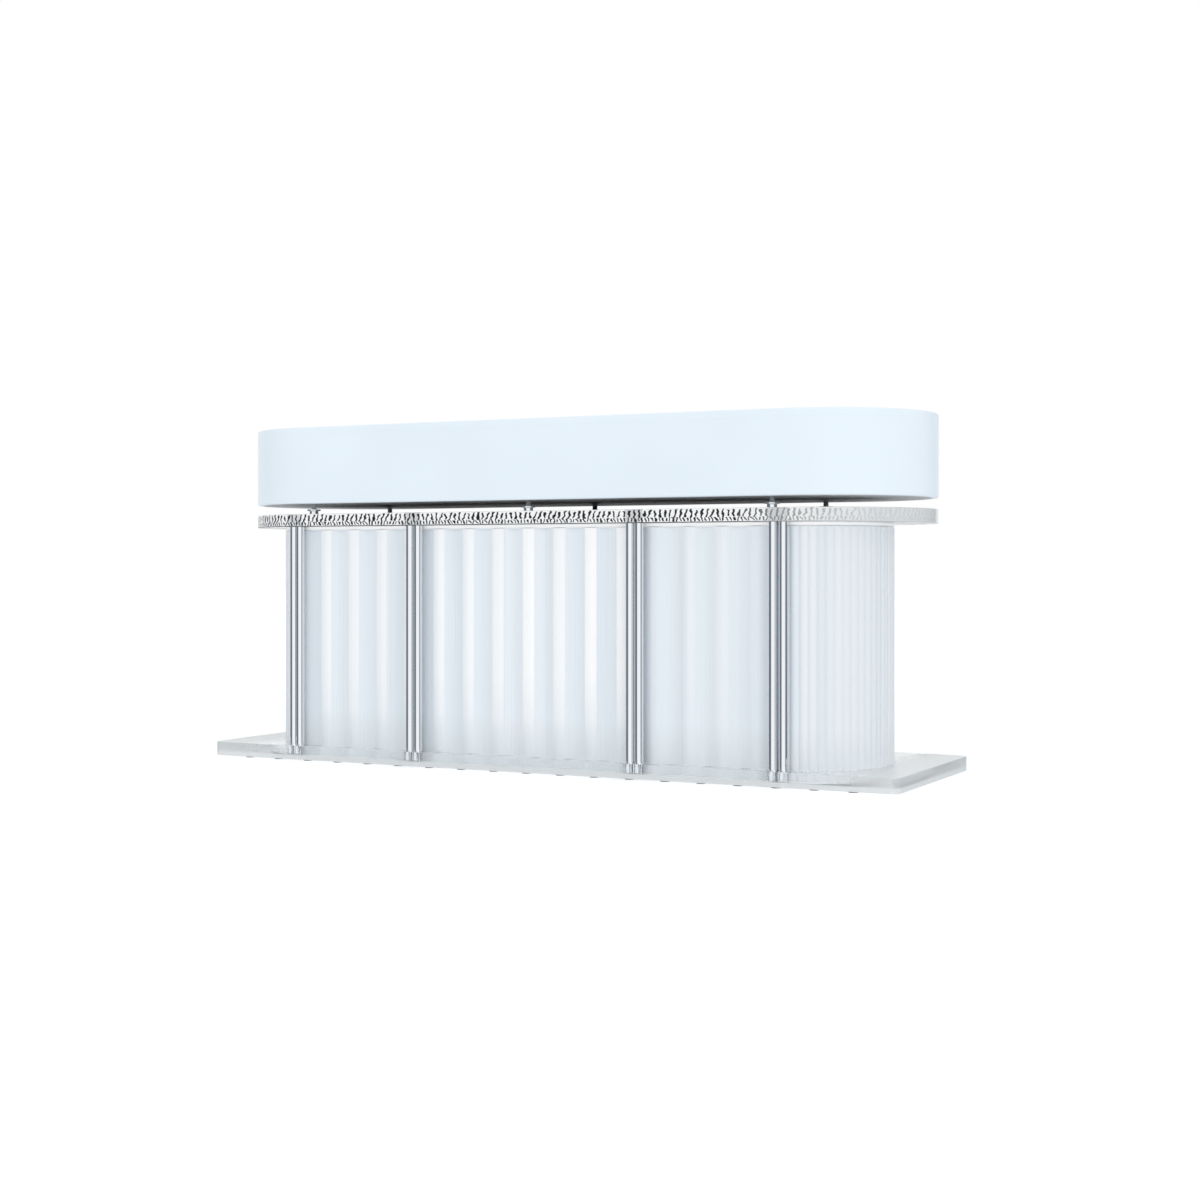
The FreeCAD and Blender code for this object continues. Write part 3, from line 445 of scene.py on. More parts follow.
def rail_finish():
    """Powder-coated aluminium: white and satin, with a fine skin."""
    return solid("powder coated aluminium", colours().rail, (0.3, 0.45), 1.5, 60, 0.08)


def melamine():
    """Melamine-faced board: white, with a fine pearl texture."""
    return solid("white melamine", colours().board, (0.38, 0.52), 2, 120, 0.15)


def rubber():
    """Moulded rubber: grey and matt."""
    return solid("moulded rubber", colours().rubber, (0.7, 0.85), 1.5, 12, 0.3)


FINISHES = {"clear": clear_acrylic, "cut": cut_acrylic, "opal": opal_acrylic, "lacquer": lacquer,
            "laminate": shaded_laminate, "chrome": chrome, "steel": steel, "rail": rail_finish,
            "melamine": melamine, "rubber": rubber}
READY = {}


def finish(name):
    """A finish, made when it is first asked for."""
    if name not in READY:
        READY[name] = FINISHES[name]()
    return READY[name]


# Shapes


def piece(name, mesh, finishes, nodes):
    """Puts a finished mesh in the scene, riding on the counter in place of its solids."""
    if not mesh.polygons:
        raise RuntimeError(f"{name} has no faces")
    mesh.materials.clear()
    for item in finishes:
        mesh.materials.append(finish(item))
    mesh.polygons.foreach_set("use_smooth", [True] * len(mesh.polygons))
    mesh.set_sharp_from_angle(angle=SHARP)
    mesh.name = name
    item = bpy.data.objects.new(name, mesh)
    bpy.context.scene.collection.objects.link(item)
    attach(item, ROOT)
    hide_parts(*nodes)
    return item


def to_mesh(bm):
    """Mesh from a bmesh, with its faces turned outwards."""
    bmesh.ops.remove_doubles(bm, verts=bm.verts, dist=1e-6)
    bmesh.ops.recalc_face_normals(bm, faces=bm.faces)
    mesh = bpy.data.meshes.new("shape")
    bm.to_mesh(mesh)
    bm.free()
    return mesh


def skin_rings(rings, round_way=True, capped=True, onward=False):
    """Joins rings of points by quads; round_way closes each ring, onward closes the row of rings."""
    bm = bmesh.new()
    rows = [[bm.verts.new(p) for p in ring] for ring in rings]
    pairs = list(zip(rows, rows[1:])) + ([(rows[-1], rows[0])] if onward else [])
    for low, high in pairs:
        count = len(low)
        for i in range(count if round_way else count - 1):
            j = (i + 1) % count
            bm.faces.new((low[i], low[j], high[j], high[i]))
    if capped:
        bm.faces.new(rows[0])
        bm.faces.new(rows[-1])
    return bm


def stadium(run, radius, steps=ROUND_STEPS):
    """Outline with half-round ends: points and outward directions."""
    marks = []
    for way in (1, -1):
        for i in range(steps + 1):
            turn = math.pi * (i / steps - 0.5)
            out = Vector((way * math.cos(turn), way * math.sin(turn), 0))
            marks.append((Vector((way * run, 0, 0)) + out * radius, out))
    return marks


def rounded(low, high, radius, steps=16):
    """Rectangle with round corners: points and outward directions."""
    marks = []
    for corner, (x, y) in enumerate(((high.x - radius, high.y - radius), (low.x + radius, high.y - radius),
                                     (low.x + radius, low.y + radius), (high.x - radius, low.y + radius))):
        for i in range(steps + 1):
            turn = math.pi / 2 * (corner + i / steps)
            out = Vector((math.cos(turn), math.sin(turn), 0))
            marks.append((Vector((x, y, 0)) + out * radius, out))
    return marks


def slab(outline, profile):
    """Sheet over an outline; the profile is a list of distances inward and heights, from below to above."""
    rings = [[point - out * inward + Vector((0, 0, z)) for point, out in outline] for inward, z in profile]
    return skin_rings(rings)


def plain_edge(low, high, edge):
    """Whole profile of a sheet between two heights, with its edges bevelled."""
    return [(edge, low), (0, low + edge), (0, high - edge), (edge, high)]


def soft_edge(inward, centre, radius, start, stop, steps=6):
    """Part of a profile: a rounded edge about a centre, as distances inward and heights."""
    turns = [math.radians(start + (stop - start) * i / steps) for i in range(steps + 1)]
    return [(inward - radius * math.cos(t), centre + radius * math.sin(t)) for t in turns]


def sweep(path, section):
    """Bar along a path of points and outward directions; the section is distances outward and heights."""
    rings = [[point + out * ahead + Vector((0, 0, z)) for ahead, z in section] for point, out in path]
    return skin_rings(rings)


def lathe(profile, steps=LATHE_STEPS, onward=True):
    """Turned piece about the Z axis from radii and heights; onward closes the section."""
    rings = [[Vector((r * math.cos(2 * math.pi * i / steps), r * math.sin(2 * math.pi * i / steps), z))
              for i in range(steps)] for r, z in profile]
    return skin_rings(rings, capped=not onward, onward=onward)


def board(low, high, edge):
    """Board with small bevels."""
    bm = bmesh.new()
    bmesh.ops.create_cube(bm, size=1.0)
    for vert in bm.verts:
        vert.co = Vector((l + (h - l) * (c + 0.5) for l, h, c in zip(low, high, vert.co)))
    bmesh.ops.bevel(bm, geom=list(bm.edges), offset=edge, segments=2, affect="EDGES", profile=0.5)
    return bm


def drill(mesh, tools):
    """Cuts tool meshes out of a mesh."""
    target = bpy.data.objects.new("drilled", mesh)
    bpy.context.scene.collection.objects.link(target)
    spare = []
    for tool in tools:
        item = bpy.data.objects.new("tool", tool)
        bpy.context.scene.collection.objects.link(item)
        spare.append(item)
        modifier = target.modifiers.new("cut", "BOOLEAN")
        modifier.operation, modifier.solver, modifier.object = "DIFFERENCE", "EXACT", item
    result = bpy.data.meshes.new_from_object(target.evaluated_get(bpy.context.evaluated_depsgraph_get()))
    for item in [target] + spare:
        old = item.data
        bpy.data.objects.remove(item)
        bpy.data.meshes.remove(old)
    return result


def joined(meshes):
    """One mesh from several."""
    bm = bmesh.new()
    for mesh in meshes:
        bm.from_mesh(mesh)
        bpy.data.meshes.remove(mesh)
    mesh = bpy.data.meshes.new("joined")
    bm.to_mesh(mesh)
    bm.free()
    return mesh


def grid_tree():
    """Node tree that sets one fitting at each point of a level grid."""
    tree = bpy.data.node_groups.new("Grid of fittings", "GeometryNodeTree")
    for kind, label in (("Object", "Fitting"), ("Int", "Columns"), ("Int", "Rows"), ("Float", "Length"),
                        ("Float", "Depth"), ("Vector", "Centre"), ("Material", "Finish")):
        tree.interface.new_socket(name=label, in_out="INPUT", socket_type=f"NodeSocket{kind}")
    tree.interface.new_socket(name="Geometry", in_out="OUTPUT", socket_type="NodeSocketGeometry")
    given = add(tree, "NodeGroupInput").outputs
    grid = add(tree, "GeometryNodeMeshGrid", {"Size X": given["Length"], "Size Y": given["Depth"],
                                              "Vertices X": given["Columns"], "Vertices Y": given["Rows"]})
    moved = add(tree, "GeometryNodeSetPosition", {"Geometry": grid.outputs["Mesh"],
                                                  "Offset": given["Centre"]})
    fitting = add(tree, "GeometryNodeObjectInfo", {"Object": given["Fitting"], "As Instance": True})
    spread = add(tree, "GeometryNodeInstanceOnPoints", {"Points": moved.outputs["Geometry"],
                                                        "Instance": fitting.outputs["Geometry"]})
    real = add(tree, "GeometryNodeRealizeInstances", {"Geometry": spread.outputs["Instances"]})
    clad = add(tree, "GeometryNodeSetMaterial", {"Geometry": real.outputs["Geometry"],
                                                 "Material": given["Finish"]})
    add(tree, "NodeGroupOutput", {"Geometry": clad.outputs["Geometry"]})
    return tree


def on_grid(fitting, columns, rows, run, depth, centre, finish_name):
    """Plain mesh of one fitting repeated over a level grid."""
    tree = bpy.data.node_groups.get("Grid of fittings") or grid_tree()
    source = bpy.data.objects.new("fitting", fitting)
    holder = bpy.data.objects.new("holder", bpy.data.meshes.new("holder"))
    for item in (source, holder):
        bpy.context.scene.collection.objects.link(item)
    modifier = holder.modifiers.new("grid", "NODES")
    modifier.node_group = tree
    given = {"Fitting": source, "Columns": columns, "Rows": rows, "Length": run, "Depth": depth,
             "Centre": centre, "Finish": finish(finish_name)}
    for socket in tree.interface.items_tree:
        if socket.in_out == "INPUT":
            modifier[socket.identifier] = given[socket.name]
    result = bpy.data.meshes.new_from_object(holder.evaluated_get(bpy.context.evaluated_depsgraph_get()))
    holder.modifiers.remove(modifier)
    for item in (holder, source):
        old = item.data
        bpy.data.objects.remove(item)
        bpy.data.meshes.remove(old)
    return result


def body_point(along, ahead):
    """Point beside the line of the crests, with the outward direction: along from the middle, outward."""
    way = math.copysign(1, along)
    corner = sizes().body_corner
    half, front, back = END_HIGH.x, -PANEL_LOW.y, END_HIGH.y
    run, bend, end = half - corner, corner * math.pi / 2, front + back - 2 * corner
    left = abs(along)
    if left <= run:
        point, out = Vector((way * left, -front, 0)), Vector((0, -1, 0))
    elif left <= run + bend:
        turn = (left - run) / corner
        out = Vector((way * math.sin(turn), -math.cos(turn), 0))
        point = Vector((way * run, corner - front, 0)) + out * corner
    elif left <= run + bend + end:
        point, out = Vector((way * half, corner - front + left - run - bend, 0)), Vector((way, 0, 0))
    else:
        turn = (left - run - bend - end) / corner
        out = Vector((way * math.cos(turn), math.sin(turn), 0))
        point = Vector((way * run, back - corner, 0)) + out * corner
    return point + out * ahead, out


def body_run():
    """From the middle of the front round to the back edge of an end panel."""
    corner = sizes().body_corner
    return END_HIGH.x - corner - PANEL_LOW.y + END_HIGH.y - 2 * corner + corner * math.pi


def pleat_drop(along):
    """How far the face lies behind the crests on the front."""
    s = sizes()
    along += s.pleat_shift
    off = abs(along - round(along / s.pleat_pitch) * s.pleat_pitch)
    half = s.ridge_width / 2
    if off <= half:
        return s.ridge_drop * (off / half) ** 2
    rest = (s.pleat_pitch - s.ridge_width) / 2
    return s.valley_drop - (s.valley_drop - s.ridge_drop) * ((off - half - rest) / rest) ** 2


def upright_sheet(marks, low, high):
    """Panel between two heights; a mark is a place along the outline and how far the face is set back."""
    depth = sizes().panel_depth
    face = [body_point(along, -drop)[0] for along, drop in marks]
    rear = [body_point(along, -depth)[0] for along, _ in marks]
    section = face + rear[::-1]
    mesh = to_mesh(skin_rings([[p + Vector((0, 0, z)) for p in section] for z in (low, high)]))
    runs = [along for along, _ in marks]
    layer = mesh.attributes.new("along", "FLOAT", "POINT")
    layer.data.foreach_set("value", (runs + runs[::-1]) * 2)
    return mesh


def seams():
    """Middle of each pair of rods, along the outline."""
    s = sizes()
    return [at - s.rod_shift for at in (-s.rod_outer, -s.rod_inner, s.rod_inner, s.rod_outer)]


def rod_spots(seam):
    """Axes of the two rods of a pair."""
    s = sizes()
    return [body_point(seam + side * s.rod_spacing / 2, s.rod_ahead)[0] for side in (-1, 1)]


def post(radius, low, high, steps=LATHE_STEPS):
    """Plain round tool for drilling."""
    return lathe([(radius, low), (radius, high)], steps=steps, onward=False)


def shifted(bm, x, y):
    """Mesh of a shape moved over the floor plan."""
    bmesh.ops.translate(bm, verts=bm.verts, vec=(x, y, 0))
    return to_mesh(bm)


def standoff_grid():
    """Columns, rows, length, depth and middle of the grid of standoffs."""
    low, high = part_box("standoff_studs")
    stud = sizes().stud_width
    middle = (low + high) / 2
    return 3, 2, high.x - low.x - stud, high.y - low.y - stud, Vector((middle.x, middle.y, 0))


def stud_ways(low, high):
    """Tools for the holes of the studs between two heights."""
    columns, rows, run, depth, middle = standoff_grid()
    spots = [middle + Vector((run * (i / (columns - 1) - 0.5), depth * (j / (rows - 1) - 0.5), 0))
             for i in range(columns) for j in range(rows)]
    return [shifted(post(sizes().stud_way / 2, low - CLEAR, high + CLEAR, 24), at.x, at.y) for at in spots]


# Pieces, one operator for each group


class BAR_OT_top(bpy.types.Operator):
    """Worktop, its ring of fascias, the board under them, dark with painted shade, and the ribs inside"""

    bl_idname = "bar.top"
    bl_label = "Top box"

    def execute(self, context):
        s = sizes()
        radius = DECK_HIGH.y
        run = DECK_HIGH.x - radius
        fine = s.board_edge / 2
        profile = [(fine, DECK_LOW.z), (0, DECK_LOW.z + fine)]
        profile += soft_edge(s.deck_round, DECK_HIGH.z - s.deck_round, s.deck_round, 0, 90)
        mesh = to_mesh(slab(stadium(run, radius), profile))
        piece("worktop", mesh, ["lacquer"], ["top_deck"])

        low, high = FASCIA_LOW.z, FASCIA_HIGH.z
        inner = -s.fascia_thick
        section = [(inner, high), (inner, low)]
        lower = soft_edge(s.fascia_round, low + s.fascia_round, s.fascia_round, -90, 0)
        section += [(-inward, z) for inward, z in lower]
        section += [(0, high - fine), (-fine, high)]
        across = Vector((1, 0, 0))
        for name, way in (("front", -1), ("back", 1)):
            out = Vector((0, way, 0))
            path = [(out * radius + across * x, out) for x in (-run, run)]
            mesh = to_mesh(sweep(path, section))
            piece(f"{name}_fascia", mesh, ["lacquer"], [f"fascia_{name}"])
        half = stadium(run, radius)
        count = len(half) // 2
        for name, path in (("right", half[:count]), ("left", half[count:])):
            mesh = to_mesh(sweep(path, section))
            piece(f"{name}_end_fascia", mesh, ["lacquer"], [f"fascia_end_{name}"])

        radius = UNDER_HIGH.y
        run = UNDER_HIGH.x - radius
        edge = s.board_edge
        mesh = to_mesh(slab(stadium(run, radius), plain_edge(UNDER_LOW.z, UNDER_HIGH.z, edge)))
        mesh = drill(mesh, stud_ways(UNDER_LOW.z, UNDER_HIGH.z))
        piece("soffit_board", mesh, ["laminate"], ["underside_board"])

        low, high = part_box("top_ribs")
        thick = s.rib_thick
        outer = high.x - thick / 2
        inner = outer * RIB_SHARE
        ribs = [to_mesh(board((x - thick / 2, low.y, low.z), (x + thick / 2, high.y, high.z), edge))
                for x in (-outer, -inner, inner, outer)]
        piece("top_rib_boards", joined(ribs), ["melamine"], ["top_ribs"])
        return {"FINISHED"}


class BAR_OT_plates(bpy.types.Operator):
    """Clear base plate and clear upper plate, with their sockets and groove"""

    bl_idname = "bar.plates"
    bl_label = "Clear plates"

    def execute(self, context):
        s = sizes()
        edge, play = s.edge, s.play
        low, high = BASE_LOW.z, BASE_HIGH.z
        outline = rounded(BASE_LOW, BASE_HIGH, s.base_corner)
        rods_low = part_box("rod_pair_1")[0].z
        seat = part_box("rod_bolts")[0].z + BOLT_HEAD
        head, wide = 0.0093, s.rod_width / 2 + play
        socket = [(head, low - CLEAR), (head, seat), (BOLT_BORE, seat), (BOLT_BORE, rods_low),
                  (wide, rods_low), (wide, high + CLEAR)]
        tools = [shifted(lathe(socket, onward=False), spot.x, spot.y)
                 for seam in seams() for spot in rod_spots(seam)]
        reach = body_run() + play
        path = [body_point(reach * (2 * i / GROOVE_STEPS - 1), 0) for i in range(GROOVE_STEPS + 1)]
        behind, above = -s.panel_depth - play, high + CLEAR
        groove = [(play, PANEL_LOW.z), (play, above), (behind, above), (behind, PANEL_LOW.z)]
        tools.append(to_mesh(sweep(path, groove)))
        mesh = drill(to_mesh(slab(outline, plain_edge(low, high, edge))), tools)
        piece("clear_base", mesh, ["clear"], ["base_plate"])

        low, high = PLATE_LOW.z, PLATE_HIGH.z
        radius = PLATE_HIGH.y
        run = PLATE_HIGH.x - radius
        mesh = to_mesh(slab(stadium(run, radius), plain_edge(low, high, edge)))
        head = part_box("rod_pair_1")[1].z
        tools = [shifted(post(wide, low - CLEAR, head + play), spot.x, spot.y)
                 for seam in seams() for spot in rod_spots(seam)]
        mesh = drill(mesh, tools + stud_ways(low, high))
        layer = mesh.uv_layers.new(name="edge")
        for face in mesh.polygons:
            upright = abs(face.normal.z) < 0.3
            flank = upright and self.on_rim(face.center, run, radius)
            face.material_index = 1 if flank else 0
            for loop in face.loop_indices:
                point = mesh.vertices[mesh.loops[loop].vertex_index].co
                layer.data[loop].uv = (self.rim_length(point, face.center, run, radius), point.z - low)
        made = [face.material_index for face in mesh.polygons]
        piece("clear_upper_plate", mesh, ["clear", "cut"], ["upper_plate"])
        mesh.polygons.foreach_set("material_index", made)
        return {"FINISHED"}

    def on_rim(self, point, run, radius):
        """True for a point on the outer edge of the plate."""
        nearest = Vector((max(-run, min(run, point.x)), 0, 0))
        return (Vector((point.x, point.y, 0)) - nearest).length > radius * 0.98

    def rim_length(self, point, near, run, radius):
        """Length along the rim, from the middle of the front, on the side of the plate that near is on."""
        if abs(near.x) <= run:
            side = 0 if near.y < 0 else 2 * run + math.pi * radius
            return point.x + side if near.y < 0 else side - point.x
        turn = math.atan2(point.y, abs(point.x) - run) + math.pi / 2
        return math.copysign(run + turn * radius, near.x)


class BAR_OT_panels(bpy.types.Operator):
    """Pleated front panels, reeded end panels and the rail over them"""

    bl_idname = "bar.panels"
    bl_label = "Panels and rail"

    def execute(self, context):
        s = sizes()
        low, high = PANEL_LOW.z, PANEL_HIGH.z
        joint = s.panel_gap / 2
        joins = seams()
        for name, start, stop in zip(("left", "middle", "right"), joins, joins[1:]):
            start, stop = start + joint, stop - joint
            count = round((stop - start) / s.pleat_pitch * PLEAT_STEPS)
            spots = [start + (stop - start) * i / count for i in range(count + 1)]
            marks = [(at, pleat_drop(at)) for at in spots]
            piece(f"pleated_{name}", upright_sheet(marks, low, high), ["opal"],
                  [f"front_panel_{name}"])
        whole = body_run()
        for name, way in (("left", -1), ("right", 1)):
            start, stop = abs(joins[0] if way < 0 else joins[-1]) + joint, whole
            count = max(1, round((stop - start) / s.reed_pitch)) * REED_STEPS
            marks = []
            for i in range(count + 1):
                at = start + (stop - start) * i / count
                across = 2 * (i % REED_STEPS) / REED_STEPS - 1
                marks.append((way * at, s.reed_drop * across ** 2))
            piece(f"reeded_{name}", upright_sheet(marks, low, high), ["opal"],
                  [f"end_panel_{name}"])
        path = [body_point(whole * (2 * i / RAIL_STEPS - 1), 0) for i in range(RAIL_STEPS + 1)]
        edge = s.board_edge
        groove, lip = s.rail_groove, RAIL_LOW.z + s.rail_groove
        section = [(-2 * groove, RAIL_LOW.z), (-2 * groove, lip), (-edge, lip), (0, lip + edge),
                   (0, RAIL_HIGH.z - edge), (-edge, RAIL_HIGH.z), (-s.panel_depth, RAIL_HIGH.z),
                   (-s.panel_depth, RAIL_LOW.z)]
        piece("panel_rail", to_mesh(sweep(path, section)), ["rail"], ["top_rail"])
        return {"FINISHED"}


class BAR_OT_rods(bpy.types.Operator):
    """Pairs of chrome rods, with the plugs and bolts in their feet"""

    bl_idname = "bar.rods"
    bl_label = "Rods"

    def execute(self, context):
        s = sizes()
        low, high = (corner.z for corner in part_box("rod_pair_1"))
        outer, inner, rim = s.rod_width / 2, s.rod_width / 2 - s.rod_wall, 0.0005
        tube = [(inner, low + rim), (inner + rim, low), (outer - rim, low), (outer, low + rim),
                (outer, high - rim), (outer - rim, high), (inner + rim, high), (inner, high - rim)]
        for number, seam in enumerate(seams(), start=1):
            rods = [on_grid(to_mesh(lathe(tube, steps=72)), 1, 1, 0.0, 0.0, spot, "chrome")
                    for spot in rod_spots(seam)]
            piece(f"chrome_rods_{number}", joined(rods), ["chrome"], [f"rod_pair_{number}"])

        plug_low, plug_high = (corner.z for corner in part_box("rod_plugs"))
        wide, edge = inner - s.play, 0.0006
        plug = [(BOLT_BORE, plug_low), (wide - edge, plug_low), (wide, plug_low + edge),
                (wide, plug_high - edge), (wide - edge, plug_high), (BOLT_BORE, plug_high)]
        bolt_low, bolt_high = (corner.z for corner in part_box("rod_bolts"))
        head, shank, socket, deep = 0.009, 0.005, 0.0045, 0.005
        seat = bolt_low + BOLT_HEAD
        bolt = [(AXIS, bolt_low + deep), (socket, bolt_low + deep), (socket, bolt_low),
                (head - edge, bolt_low), (head, bolt_low + edge), (head, seat), (shank, seat),
                (shank, bolt_high - edge), (shank - edge, bolt_high), (AXIS, bolt_high)]
        for name, profile, closed, node in (("rod_inserts", plug, True, "rod_plugs"),
                                            ("rod_screws", bolt, False, "rod_bolts")):
            rows = [on_grid(to_mesh(lathe(profile, onward=closed)), 1, 1, 0.0, 0.0, spot, "steel")
                    for seam in seams() for spot in rod_spots(seam)]
            piece(name, joined(rows), ["steel"], [node])
        return {"FINISHED"}


class BAR_OT_standoffs(bpy.types.Operator):
    """Turned standoffs between upper plate and top, with their studs and nuts"""

    bl_idname = "bar.standoffs"
    bl_label = "Standoffs"

    def execute(self, context):
        low, high = (corner.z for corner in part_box("standoffs"))
        grid = standoff_grid()
        foot, collar, stem, edge = 0.015, 0.023, 0.008, 0.0008
        foot_tall, collar_tall = 0.012, 0.005
        under, over = low + foot_tall, low + foot_tall + collar_tall
        turned = [(STUD_BORE, low), (foot - edge, low), (foot, low + edge), (foot, under - edge),
                  (foot + edge, under), (collar - edge, under), (collar, under + edge),
                  (collar, over - edge), (collar - edge, over), (stem + 3 * edge, over + edge / 2),
                  (stem + edge, over + edge), (stem, over + 3 * edge), (stem, high - edge),
                  (stem - edge, high), (STUD_BORE, high)]
        mesh = on_grid(to_mesh(lathe(turned)), *grid, "chrome")
        piece("turned_standoffs", mesh, ["chrome"], ["standoffs"])

        low, high = (corner.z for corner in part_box("standoff_studs"))
        root, crest, pitch = 0.0035, 0.004, 0.00125
        turns = 16
        stud = [(AXIS, low), (root, low)]
        for start in (low, high - turns * pitch):
            for i in range(turns):
                at = start + i * pitch
                stud += [(root, at + pitch * 0.1), (crest, at + pitch * 0.45), (crest, at + pitch * 0.6),
                         (root, at + pitch * 0.95)]
        stud += [(root, high), (AXIS, high)]
        mesh = on_grid(to_mesh(lathe(stud, steps=20, onward=False)), *grid, "steel")
        piece("threaded_studs", mesh, ["steel"], ["standoff_studs"])

        for name, node in (("lower_hex_nuts", "lower_nuts"), ("upper_hex_nuts", "upper_nuts")):
            low, high = (corner.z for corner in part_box(node))
            mesh = on_grid(to_mesh(self.nut(low, high)), *grid, "steel")
            piece(name, mesh, ["steel"], [node])
        return {"FINISHED"}

    def nut(self, low, high):
        """Six-sided nut with turned corners and a hole."""
        wide, edge, count = 0.0075, 0.0009, 24
        slice_half = math.pi / 6
        across = wide * math.cos(slice_half)

        def ring(reach, z, flat):
            points = []
            for i in range(count):
                turn = 2 * math.pi * i / count
                off = (turn + slice_half) % (2 * slice_half) - slice_half
                hexagon = across / math.cos(slice_half - abs(off))
                radius = min(reach, hexagon) if flat else reach
                points.append(Vector((radius * math.cos(turn), radius * math.sin(turn), z)))
            return points

        turned = across * 0.99
        rings = [ring(STUD_BORE, low, False), ring(turned, low, False), ring(wide, low + edge, True),
                 ring(wide, high - edge, True), ring(turned, high, False), ring(STUD_BORE, high, False)]
        return skin_rings(rings, capped=False, onward=True)


class BAR_OT_pads(bpy.types.Operator):
    """Rubber pads under the base plate"""

    bl_idname = "bar.pads"
    bl_label = "Pads"

    def execute(self, context):
        low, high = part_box("base_pads")
        radius, edge = 0.015, 0.0008
        columns, rows = 19, 3
        pad = [(radius - 2 * edge, low.z), (radius - edge / 2, low.z + edge / 2),
               (radius, low.z + 2 * edge), (radius, high.z)]
        run, depth = high.x - low.x - 2 * radius, high.y - low.y - 2 * radius
        mesh = on_grid(to_mesh(lathe(pad, steps=24, onward=False)), columns, rows, run, depth, (0, 0, 0),
                       "rubber")
        piece("rubber_pads", mesh, ["rubber"], ["base_pads"])
        return {"FINISHED"}


class BAR_OT_carcass(bpy.types.Operator):
    """White boards and shelves inside the panels"""

    bl_idname = "bar.carcass"
    bl_label = "Carcass"

    def execute(self, context):
        s = sizes()
        edge = s.board_edge
        play = 0.0005
        radius = s.body_corner - s.panel_depth - play
        for node, name in (("carcass_floor", "floor_board"), ("carcass_ceiling", "ceiling_board")):
            low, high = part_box(node)
            outline = rounded(low, high, radius, steps=40)
            mesh = to_mesh(slab(outline, plain_edge(low.z, high.z, edge)))
            if node == "carcass_ceiling":
                mesh = drill(mesh, stud_ways(low.z, high.z))
            piece(name, mesh, ["melamine"], [node])
        for node, name in (("carcass_side_left", "side_board_left"),
                           ("carcass_side_right", "side_board_right"),
                           ("carcass_divider_left", "divider_board_left"),
                           ("carcass_divider_right", "divider_board_right"),
                           ("carcass_backing", "backing_board"), ("shelf_left", "shelf_board_left"),
                           ("shelf_middle", "shelf_board_middle"), ("shelf_right", "shelf_board_right")):
            piece(name, to_mesh(board(*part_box(node), edge)), ["melamine"], [node])

        low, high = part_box("shelf_pins")
        radius, rim = 0.0035, 0.0006
        level, depth = (low.z + high.z) / 2, high.y - low.y - 2 * radius
        row = (low.y + high.y) / 2
        turned = Matrix.Rotation(math.pi / 2, 4, "Y")
        rows = []
        short, through = 0.021, 0.04  # pins in the sides, and pins that pass the dividers
        for middle, run in ((high.x - short / 2, short), (s.rod_inner, through)):
            end = run / 2
            pin = lathe([(AXIS, -end), (radius - rim, -end), (radius, rim - end), (radius, end - rim),
                         (radius - rim, end), (AXIS, end)], steps=20, onward=False)
            bmesh.ops.transform(pin, matrix=turned, verts=pin.verts)
            rows.append(on_grid(to_mesh(pin), 2, 2, 2 * middle, depth, (0, row, level), "steel"))
        piece("shelf_supports", joined(rows), ["steel"], ["shelf_pins"])
        return {"FINISHED"}


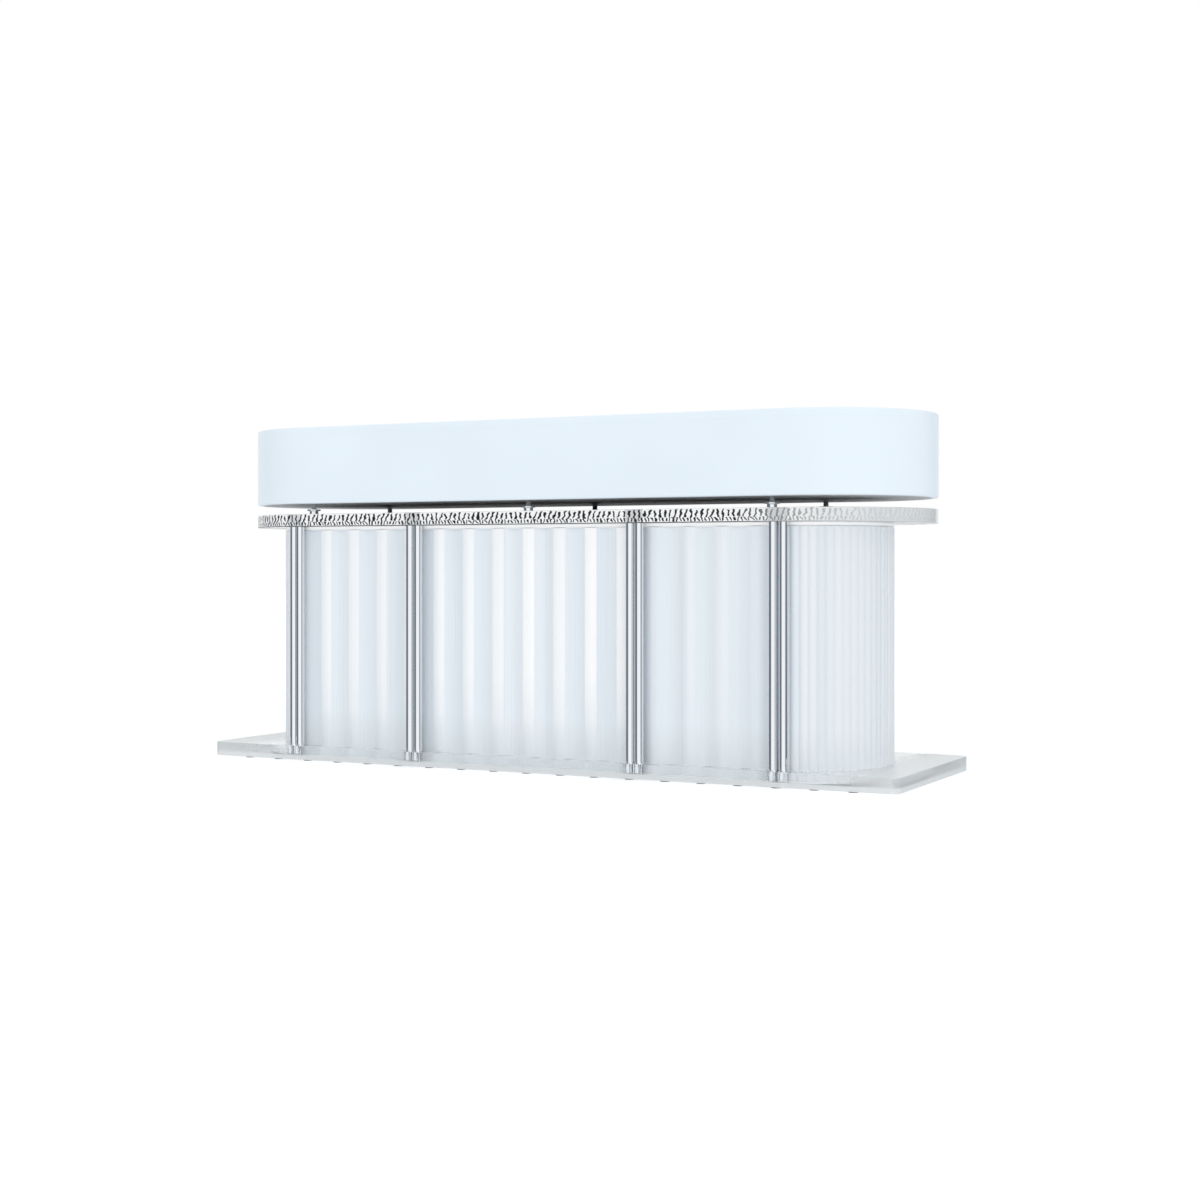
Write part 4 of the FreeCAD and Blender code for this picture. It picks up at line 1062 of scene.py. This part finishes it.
class BAR_OT_stage(bpy.types.Operator):
    """Pale floor, soft light and the camera"""

    bl_idname = "bar.stage"
    bl_label = "Stage"

    def execute(self, context):
        scene = context.scene
        scene.view_settings.view_transform = "Standard"
        self.floor(scene)
        self.world(scene)
        for name, turn, strength, spread in LAMPS:
            lamp = bpy.data.lights.new(name, "SUN")
            lamp.energy, lamp.angle = strength, math.radians(spread)
            item = bpy.data.objects.new(name, lamp)
            item.rotation_euler = [math.radians(t) for t in turn]
            scene.collection.objects.link(item)
        data = bpy.data.cameras.new("camera")
        data.sensor_width, data.lens, data.shift_y = 36.0, 55.96, -0.0306
        camera = bpy.data.objects.new("camera", data)
        camera.location = (2.8316, -5.3668, 0.6497)
        camera.rotation_euler = (math.radians(90), 0, VIEW_TURN)
        scene.collection.objects.link(camera)
        scene.camera = camera
        return {"FINISHED"}

    def floor(self, scene):
        """White floor that is lifted to plain white for the camera and keeps the soft shadow."""
        bm = bmesh.new()
        bmesh.ops.create_grid(bm, x_segments=1, y_segments=1, size=FLOOR_HALF)
        mesh = bpy.data.meshes.new("studio_floor")
        bm.to_mesh(mesh)
        bm.free()
        material, tree = blank("studio floor")
        path = add(tree, PATH).outputs
        matt = add(tree, "ShaderNodeBsdfDiffuse", {"Color": colours().floor})
        shown = add(tree, MATHS, {0: path["Is Camera Ray"], 1: path["Is Transmission Ray"]},
                    operation="MAXIMUM")
        share = add(tree, RANGE, {"Value": shown, "To Min": 0.0, "To Max": 0.2})
        lift = add(tree, "ShaderNodeEmission", {"Color": WHITE, "Strength": share})
        seen = add(tree, "ShaderNodeAddShader", {0: matt, 1: lift})
        add(tree, OUTPUT, {"Surface": seen})
        mesh.materials.append(material)
        item = bpy.data.objects.new("studio_floor", mesh)
        item.visible_glossy = False
        scene.collection.objects.link(item)

    def world(self, scene):
        """White studio; polished metal also sees the dark sides of the room."""
        world = bpy.data.worlds.new("studio")
        world.use_nodes = True
        tree = world.node_tree
        tree.nodes.clear()
        path = add(tree, PATH).outputs
        way = add(tree, PLACE).outputs["Generated"]
        turned = add(tree, "ShaderNodeMapping", {"Vector": way, "Rotation": (0, 0, -VIEW_TURN)})
        side = add(tree, AXES, {"Vector": turned})
        left, right = (add(tree, RANGE, {"Value": side.outputs["X"], "From Min": dark, "From Max": white},
                           interpolation_type="SMOOTHSTEP") for dark, white in ROOM_SIDES)
        lit = add(tree, MATHS, {0: left, 1: right}, operation="MINIMUM")
        shown = add(tree, MATHS, {0: path["Is Camera Ray"], 1: path["Is Transmission Ray"]},
                    operation="MAXIMUM")
        shown = add(tree, MATHS, {0: shown, 1: path["Is Glossy Ray"]}, operation="MAXIMUM")
        dark = add(tree, MATHS, {0: 1.0, 1: lit}, operation="SUBTRACT")
        dark = add(tree, MATHS, {0: dark, 1: path["Is Glossy Ray"]}, operation="MULTIPLY")
        tone = add(tree, MIX, {"Factor": dark, "A": WHITE, "B": colours().room}, data_type="RGBA")
        level = add(tree, RANGE, {"Value": shown, "To Min": 0.84, "To Max": 1.0})
        glow = add(tree, "ShaderNodeBackground", {"Color": tone, "Strength": level})
        add(tree, "ShaderNodeOutputWorld", {"Surface": glow})
        scene.world = world


STEPS = (BAR_OT_stage, BAR_OT_top, BAR_OT_plates, BAR_OT_panels, BAR_OT_rods, BAR_OT_standoffs, BAR_OT_pads,
         BAR_OT_carcass)


class BAR_PT_panel(bpy.types.Panel):
    """Lists the steps, the sizes and the colours"""

    bl_idname = "BAR_PT_panel"
    bl_label = "Bar counter"
    bl_space_type = "VIEW_3D"
    bl_region_type = "UI"
    bl_category = "Bar counter"

    def draw(self, context):
        for step in STEPS:
            self.layout.operator(step.bl_idname)
        for group in (context.scene.bar_sizes, context.scene.bar_colours):
            box = self.layout.box()
            for name in group.__annotations__:
                box.prop(group, name)


CLASSES = (BarSizes, BarColours) + STEPS + (BAR_PT_panel,)


def register():
    for item in CLASSES:
        bpy.utils.register_class(item)
    bpy.types.Scene.bar_sizes = bpy.props.PointerProperty(type=BarSizes)
    bpy.types.Scene.bar_colours = bpy.props.PointerProperty(type=BarColours)


def unregister():
    del bpy.types.Scene.bar_colours
    del bpy.types.Scene.bar_sizes
    for item in reversed(CLASSES):
        bpy.utils.unregister_class(item)


def main():
    """Dresses the counter."""
    register()
    for step in STEPS:
        group, name = step.bl_idname.split(".")
        getattr(getattr(bpy.ops, group), name)()


if __name__ == "__main__":
    main()
